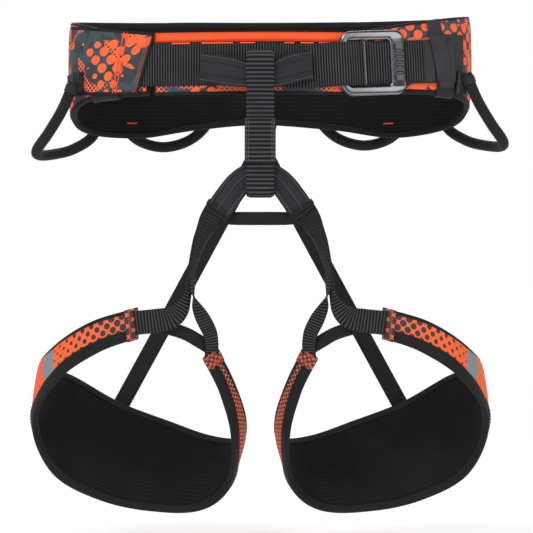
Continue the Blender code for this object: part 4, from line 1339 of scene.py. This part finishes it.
CROSS = ahead_of(BELAY_Y, [
    (-110.0, 31.0, -266.0, 0, -0.1, 1, 13.0), (-91.3, 27.0, -269.7, 0.1, -0.1, 1, 13.4),
    (-74.4, 30.0, -275.2, 0.35, -0.1, 0.95, 13.4), (-59.5, 37.5, -284.0, 0.45, 0, 0.9, 13.4),
    (-50.5, 43.0, -290.0, 0.5, 0, 0.85, 13.0),
])
REAR_RISER = [
    (-160.0, 86.5, -376.0, 0.88, 0.05, -0.47, 17.5), (-147.0, 92.0, -352.0, 0.88, 0, -0.47, 17.5),
    (-80.0, 94.0, -229.0, 0.88, 0, -0.47, 17.5), (-16.5, 92.0, -111.4, 0.88, 0, -0.47, 17.5),
]
RISER_TOP = [
    (-16.5, 92.0, -111.4, 0.88, 0, -0.47, 17.5), (-6.0, 91.0, -91.0, 0.88, 0, -0.47, 17.5),
    (4.0, 89.8, -72.0, 0.90, 0, -0.43, 17.5), (8.5, 89.9, -55.0, 1.0, 0, 0, 17.5),
    (8.5, 89.9, -32.0, 1.0, 0, 0, 17.5),
]
RISER_LIFT = 2.4         # how far the right riser's top lies behind the left one's
SPLIT_ABOVE = (-70.5, -94.0, -216.0)      # the webbing bends between these two
SPLIT_BELOW = (-70.5, -94.0, -242.0)
STRETCH = dict(ribs=(2.2, 0.12))   # the weave of the elastic


def leg_straps(side, name, turn):
    """The straps from the lower harness to one leg, and its rear riser."""
    body = name + "_leg"

    def flip(row):
        return (row[0] * -side, row[1], row[2])

    down = (LOWER, body), (flip(SPLIT_ABOVE), flip(SPLIT_BELOW))
    front_rows = turn(RISER + LATERAL)
    riser = webbing(body + "_riser", front_rows, 2.0, "lateral", ribs=(3.2, 0.3))
    bends(riser, *down, body + "_riser_webbing", body + "_lateral_strap")
    shape = dict(ribs=PLAIN, step=1.4, wider=0.7, part=(0.0, 0.56))
    bends(webbing(body + "_riser_sleeve", front_rows, 2.5, "tape", **shape), *down, slot="wear_sleeve")
    bends(webbing(body + "_medial_strap", turn(MEDIAL), 1.5, "lateral", ribs=(3.2, 0.2)), *down)
    strap(body + "_cross_strap", turn(CROSS), 1.4, "elastic", body, **STRETCH)

    rear = webbing(name + "_rear_riser", turn(REAR_RISER), 1.3, "elastic", step=0.8, **STRETCH)
    bends(rear, (LOWER, body), (flip(REAR_RISER[-1]), flip(REAR_RISER[0])))
    rows = turn(RISER_TOP)
    if side > 0:
        rows = [(x, y + RISER_LIFT * (z > -100), z, *rest) for x, y, z, *rest in rows]
    top = webbing(name + "_riser_top", rows, 1.3, "elastic", step=0.8, **STRETCH)
    bends(top, (WAIST, LOWER), (flip(RISER_TOP[3]), flip(RISER_TOP[0])))


def cuffs(name, pad):
    """Folded ends of the pad's two arms, with coloured bartacks where the straps go in."""
    body = name + "_leg"
    for label, start, end in (("lateral", -0.004, 0.022), ("medial", 1.004, 0.975)):
        span = (min(start, end), max(start, end))
        cuff = pad.sheet(f"{name}_{label}_cuff", span, (0.018, 0.482), (0.9, 1.7), "leg", (10, 16))
        rides(cuff, body)
        runs = []
        for share in (0.25, 0.75):
            along = np.clip(start + (end - start) * share + zigzag(26, 0.0022), 0.001, 0.999)
            points, _, normals = pad.sample(along, np.linspace(0.05, 0.45, 26), 1.75)
            runs.append((points, normals))
        stitches(f"{name}_{label}_bartacks", runs, "orange_thread", body, "orange_trim", 1.5, 1.5, 0.32)


# ---- gear loops and the back -----------------------------------------------------------
FRONT_GEAR_LOOP = [
    (-188.6, -48.4, -22.0), (-200.0, -43.0, -48.0), (-215.0, -30.0, -71.0), (-229.0, -10.0, -88.0),
    (-228.0, 6.0, -93.0), (-214.0, 28.0, -91.0), (-196.0, 45.0, -85.0), (-177.0, 58.5, -71.0),
    (-170.0, 59.0, -50.0), (-170.0, 59.0, -36.0),
]
REAR_GEAR_LOOP = [
    (-148.0, 68.0, -36.0), (-145.0, 72.0, -57.0), (-130.0, 80.0, -74.0), (-104.0, 87.0, -81.0),
    (-77.0, 91.0, -74.0), (-58.0, 92.5, -57.0), (-53.0, 90.8, -36.0),
]
GEAR_RADIUS, GEAR_SLEEVE_RADIUS = 5.6, 6.5
GEAR_STRIP = (44.0, HALF_GIRTH - 207.0)     # how far round the belt its webbing goes
GEAR_STRIP_LOW, GEAR_STRIP_HIGH = -28.0, -12.0
GEAR_LOOPS = {
    "left": {"front": FRONT_GEAR_LOOP, "rear": REAR_GEAR_LOOP},
    "right": {
        "front": [(2 * BELT_X - x, y, z + 9.0) for x, y, z in FRONT_GEAR_LOOP],
        "rear": [(7.0 - x, y + 4.0, z + 2.0) for x, y, z in REAR_GEAR_LOOP],
    },
}


def tube(name, points, radius, cloth, height=0.22, flutes=14, sides=70, rounded=0.0):
    """A sheathed tube with fine flutes along it; rounded is the length over which its first end closes in."""
    path = spline(points, 30) if len(points) < 12 else np.asarray(points)
    path, along = even(path, 0.6 if rounded else 2.0)
    heading = tangents(path)
    side = np.array((0.3, 0.2, 1.0))
    angle = np.linspace(0, 2 * math.pi, sides, endpoint=False)
    reach = radius - height + height * np.abs(np.cos(flutes * angle / 2)) ** 0.7
    rings, uv = [], []
    for k, middle in enumerate(path):
        side = unit(side - heading[k] * side.dot(heading[k]))
        other = np.cross(heading[k], side)
        slim = math.sqrt(max(0.06, 1 - (1 - along[k] / rounded) ** 2)) if along[k] < rounded else 1.0
        ring = np.outer(np.cos(angle) * reach * slim, side) + np.outer(np.sin(angle) * reach * slim, other)
        rings.append(middle + ring)
        uv.append(np.stack([np.full(sides, along[k]), np.abs(angle - math.pi) * radius], axis=1) * MM)
    return loft(name, rings, cloth, np.array(uv))


def along_near(side, spot):
    """How far round the belt the point nearest to this spot is."""
    if abs(spot[0] - BELT_X) < HIP_X + HIP_RADIUS * math.sin(ARC_ANGLE):
        return side * FRONT_RADIUS * math.asin(abs(spot[0] - BELT_X) / (FRONT_RADIUS + 6.0))
    reach = math.atan2(abs(spot[0] - BELT_X) - HIP_X, spot[1])
    return side * (ARC_LENGTH + HIP_RADIUS * (reach - ARC_ANGLE))


def gear_loops(pad):
    """Each side's two tubes with their end sleeves, and the webbing and tabs that hold them to the belt."""
    for side, name in ((-1, "left"), (1, "right")):
        loops = GEAR_LOOPS[name]
        for place, points in loops.items():
            node = f"{name}_{place}_gear_loop"
            rides(tube(node, points, GEAR_RADIUS, "sheath"), node)
            dense = even(spline(points, 30), 1.0)[0]
            for label, rows in (("first", dense[:12]), ("last", dense[:-13:-1])):
                shape = dict(height=0.12, flutes=20, rounded=5.0)
                rides(tube(f"{node}_{label}_sleeve", rows, GEAR_SLEEVE_RADIUS, "sleeve", **shape), node)
        ends = sorted(belt_share(pad, side * along) for along in GEAR_STRIP)
        span = (pad.level(GEAR_STRIP_LOW), pad.level(GEAR_STRIP_HIGH))
        strip = pad.sheet(name + "_gear_anchor", ends, span, (0.45, 1.5), "webbing", (220, 8))
        rides(strip, WAIST, name + "_gear_loop_anchor")
        for place, points in loops.items():
            for label, spot in (("first", points[0]), ("last", points[-1])):
                hanging = (place, label) == ("front", "first")
                thick, half, bottom = (7.6, 5.0, -31.0) if hanging else (2.1, 7.5, -44.0)
                width = sorted(belt_share(pad, along_near(side, spot) + d) for d in (-half, half))
                span = (pad.level(bottom), pad.level(GEAR_STRIP_HIGH + 0.5))
                tab = f"{name}_{place}_{label}_tab"
                rides(pad.sheet(tab, width, span, (0.3, thick), "webbing", (16, 20), 0.3), WAIST)
        seams = (GEAR_STRIP_LOW + 1.5, GEAR_STRIP_HIGH - 1.5)
        runs = [pad.run(ends, pad.level(z), 1.55, 240) for z in seams]
        stitches(name + "_gear_anchor_stitches", runs, "grey_thread", WAIST)


def back_of_belt():
    """The patch on the middle of the back, the patch over the risers' tops, the haul loop and its tab."""
    y = BACK_SEAT
    patch = [(x, y + 1.1, 25.0, 0, 0, 1, 30.0) for x in (-22.0, -8.0, 8.0, 22.0)]
    strap("back_patch", patch, 1.3, "sleeve", WAIST, ribs=PLAIN, step=1.5)
    box = [(-20, 12), (20, 12), (20, 38), (-20, 38), (-20, 12), (20, 38), (20, 12), (-20, 38)]
    points = np.array([(x, y + 1.9, z) for x, z in box], float)
    dense = np.vstack([np.linspace(a, b, 30) for a, b in zip(points, points[1:])])
    runs = [(dense, np.tile((0, 1, 0), (len(dense), 1)))]
    stitches("back_patch_stitches", runs, "grey_thread", WAIST, "wear_sleeve")

    arch = ((-25.0, 1.2), (-18.5, 3.0), (-8.0, 6.0), (8.0, 6.0), (18.5, 3.0), (25.0, 1.2))
    cover = [(x, y + out, -34.5, 0, 0, 1, 13.0) for x, out in arch]
    strap("riser_top_patch", cover, 1.3, "sleeve", WAIST, ribs=PLAIN, step=1.5)
    runs = [path_run(cover, side, 0.7 * facing(cover, 1), inset=1.4) for side in (-1, 1)]
    stitches("riser_top_stitches", runs, "grey_thread", WAIST, "wear_sleeve")

    ring_y = y + 9.0
    ring_strap("haul_loop", "haul_loop", ring_y, 4.0, -26.0, 11.8, 1.6, 5.0, "webbing", (2.6, 0.12))
    path = ((-21.0, y + 1.0), (-15.0, y + 1.2), (-8.5, ring_y - 1.0), (0.0, ring_y))
    half = [(x, way, -1.9, 0, 0, 1, 5.0) for x, way in path]
    strap("haul_loop_tab", both_halves(half), 1.2, "tape", WAIST, slot="black_webbing", ribs=PLAIN, step=1.0)


# ---- sliders of the rear risers --------------------------------------------------------
WELD = 1e-6              # metres, below which two corners are one
FLAT = math.radians(2.0)
SHARP_EDGE = math.radians(30.0)
SLIDER_EDGE = 0.6
SLIDER_LOW_BAR = (-166.3, 82.3, -389.0)
SLIDER_ACROSS = (0.88, 0.02, -0.47)
SLIDER_UP = (0.46, 0.2, 0.86)
TAB_WIDTH = 15.0
TAB_DROP, TAB_INWARD = 10.0, 12.0   # from the slider's bar to where the tab meets the pad
PATCH_HALF = 0.018       # share of the pad's length


def riser_tab(side, name, pad):
    """The elastic from the slider's lower bar to the back of the pad, sewn on under a patch."""
    flip = (-side, 1.0, 1.0)
    bar, across, up = (np.multiply(values, flip) for values in (SLIDER_LOW_BAR, SLIDER_ACROSS, SLIDER_UP))
    away = unit(np.cross(across, up))
    away *= math.copysign(1.0, away[1])
    outer_face = np.meshgrid(np.linspace(0.2, 0.8, 121), np.linspace(0.1, 0.46, 37))
    along, around = (values.ravel() for values in outer_face)
    spots = pad.sample(along, around, 1.0)[0]
    near = np.argmin(np.linalg.norm(spots - (bar - TAB_DROP * up - TAB_INWARD * away), axis=1))
    down = around[near] - np.array((0.0, 0.03, 0.07))
    sewn = pad.sample(np.full(3, along[near]), down, 1.2)[0]
    beside = unit(pad.sample(along[near] + 0.01, down[1])[0] - pad.sample(along[near] - 0.01, down[1])[0])
    beside *= math.copysign(1.0, np.dot(beside, across))
    path = [bar + 1.3 * away + 2.4 * up, bar + 1.5 * away - 1.0 * up, bar - 1.0 * away - 3.6 * up]
    rows = [(*point, *across, TAB_WIDTH) for point in path] + [(*point, *beside, TAB_WIDTH) for point in sewn]
    strap(name + "_riser_tab", rows, 1.2, "elastic", name + "_leg", step=0.8, **STRETCH)
    ends = (along[near] - PATCH_HALF, along[near] + PATCH_HALF)
    span = (down[2] - 0.03, down[1] + 0.01)
    rides(pad.sheet(name + "_riser_patch", ends, span, (0.4, 2.5), "sleeve", (16, 12), 0.4), name + "_leg")


def slider(name):
    """The slider of a rear riser: the frame's shape with its edges rounded over."""
    node = name + "_riser_adjuster"
    data = frame["nodes"][node].data.copy()
    data.name = name + "_riser_slider"
    data.materials.clear()
    data.materials.append(CLOTH["plastic"])
    mesh = bmesh.new()
    mesh.from_mesh(data)
    bmesh.ops.remove_doubles(mesh, verts=mesh.verts, dist=WELD)
    bmesh.ops.dissolve_limit(mesh, angle_limit=FLAT, verts=mesh.verts, edges=mesh.edges)
    sharp = [e for e in mesh.edges if e.is_manifold and e.calc_face_angle() > SHARP_EDGE]
    bmesh.ops.bevel(mesh, geom=sharp, offset=SLIDER_EDGE * MM, segments=3, profile=0.5, affect="EDGES",
                    clamp_overlap=True)
    mesh.to_mesh(data)
    mesh.free()
    data.shade_smooth()
    rides(placed(data.name, data), name + "_leg", node)


def build():
    """Every piece of the harness."""
    pad = belt_pad()
    belt_body(pad)
    lining_bartacks(pad)
    belt_front()
    keeper(pad)
    cover_panel()
    buckle()
    upper_tie_in()
    belay_loop()
    lower_tie_in()
    gear_loops(pad)
    back_of_belt()
    left = leg_pad()
    right = left.mirror("right_leg_pad")
    for side, name, turn, one in ((-1, "left", list, left), (1, "right", mirrored, right)):
        slider(name)
        leg(name, one)
        cuffs(name, one)
        riser_tab(side, name, one)
        leg_straps(side, name, turn)


build()
studio()
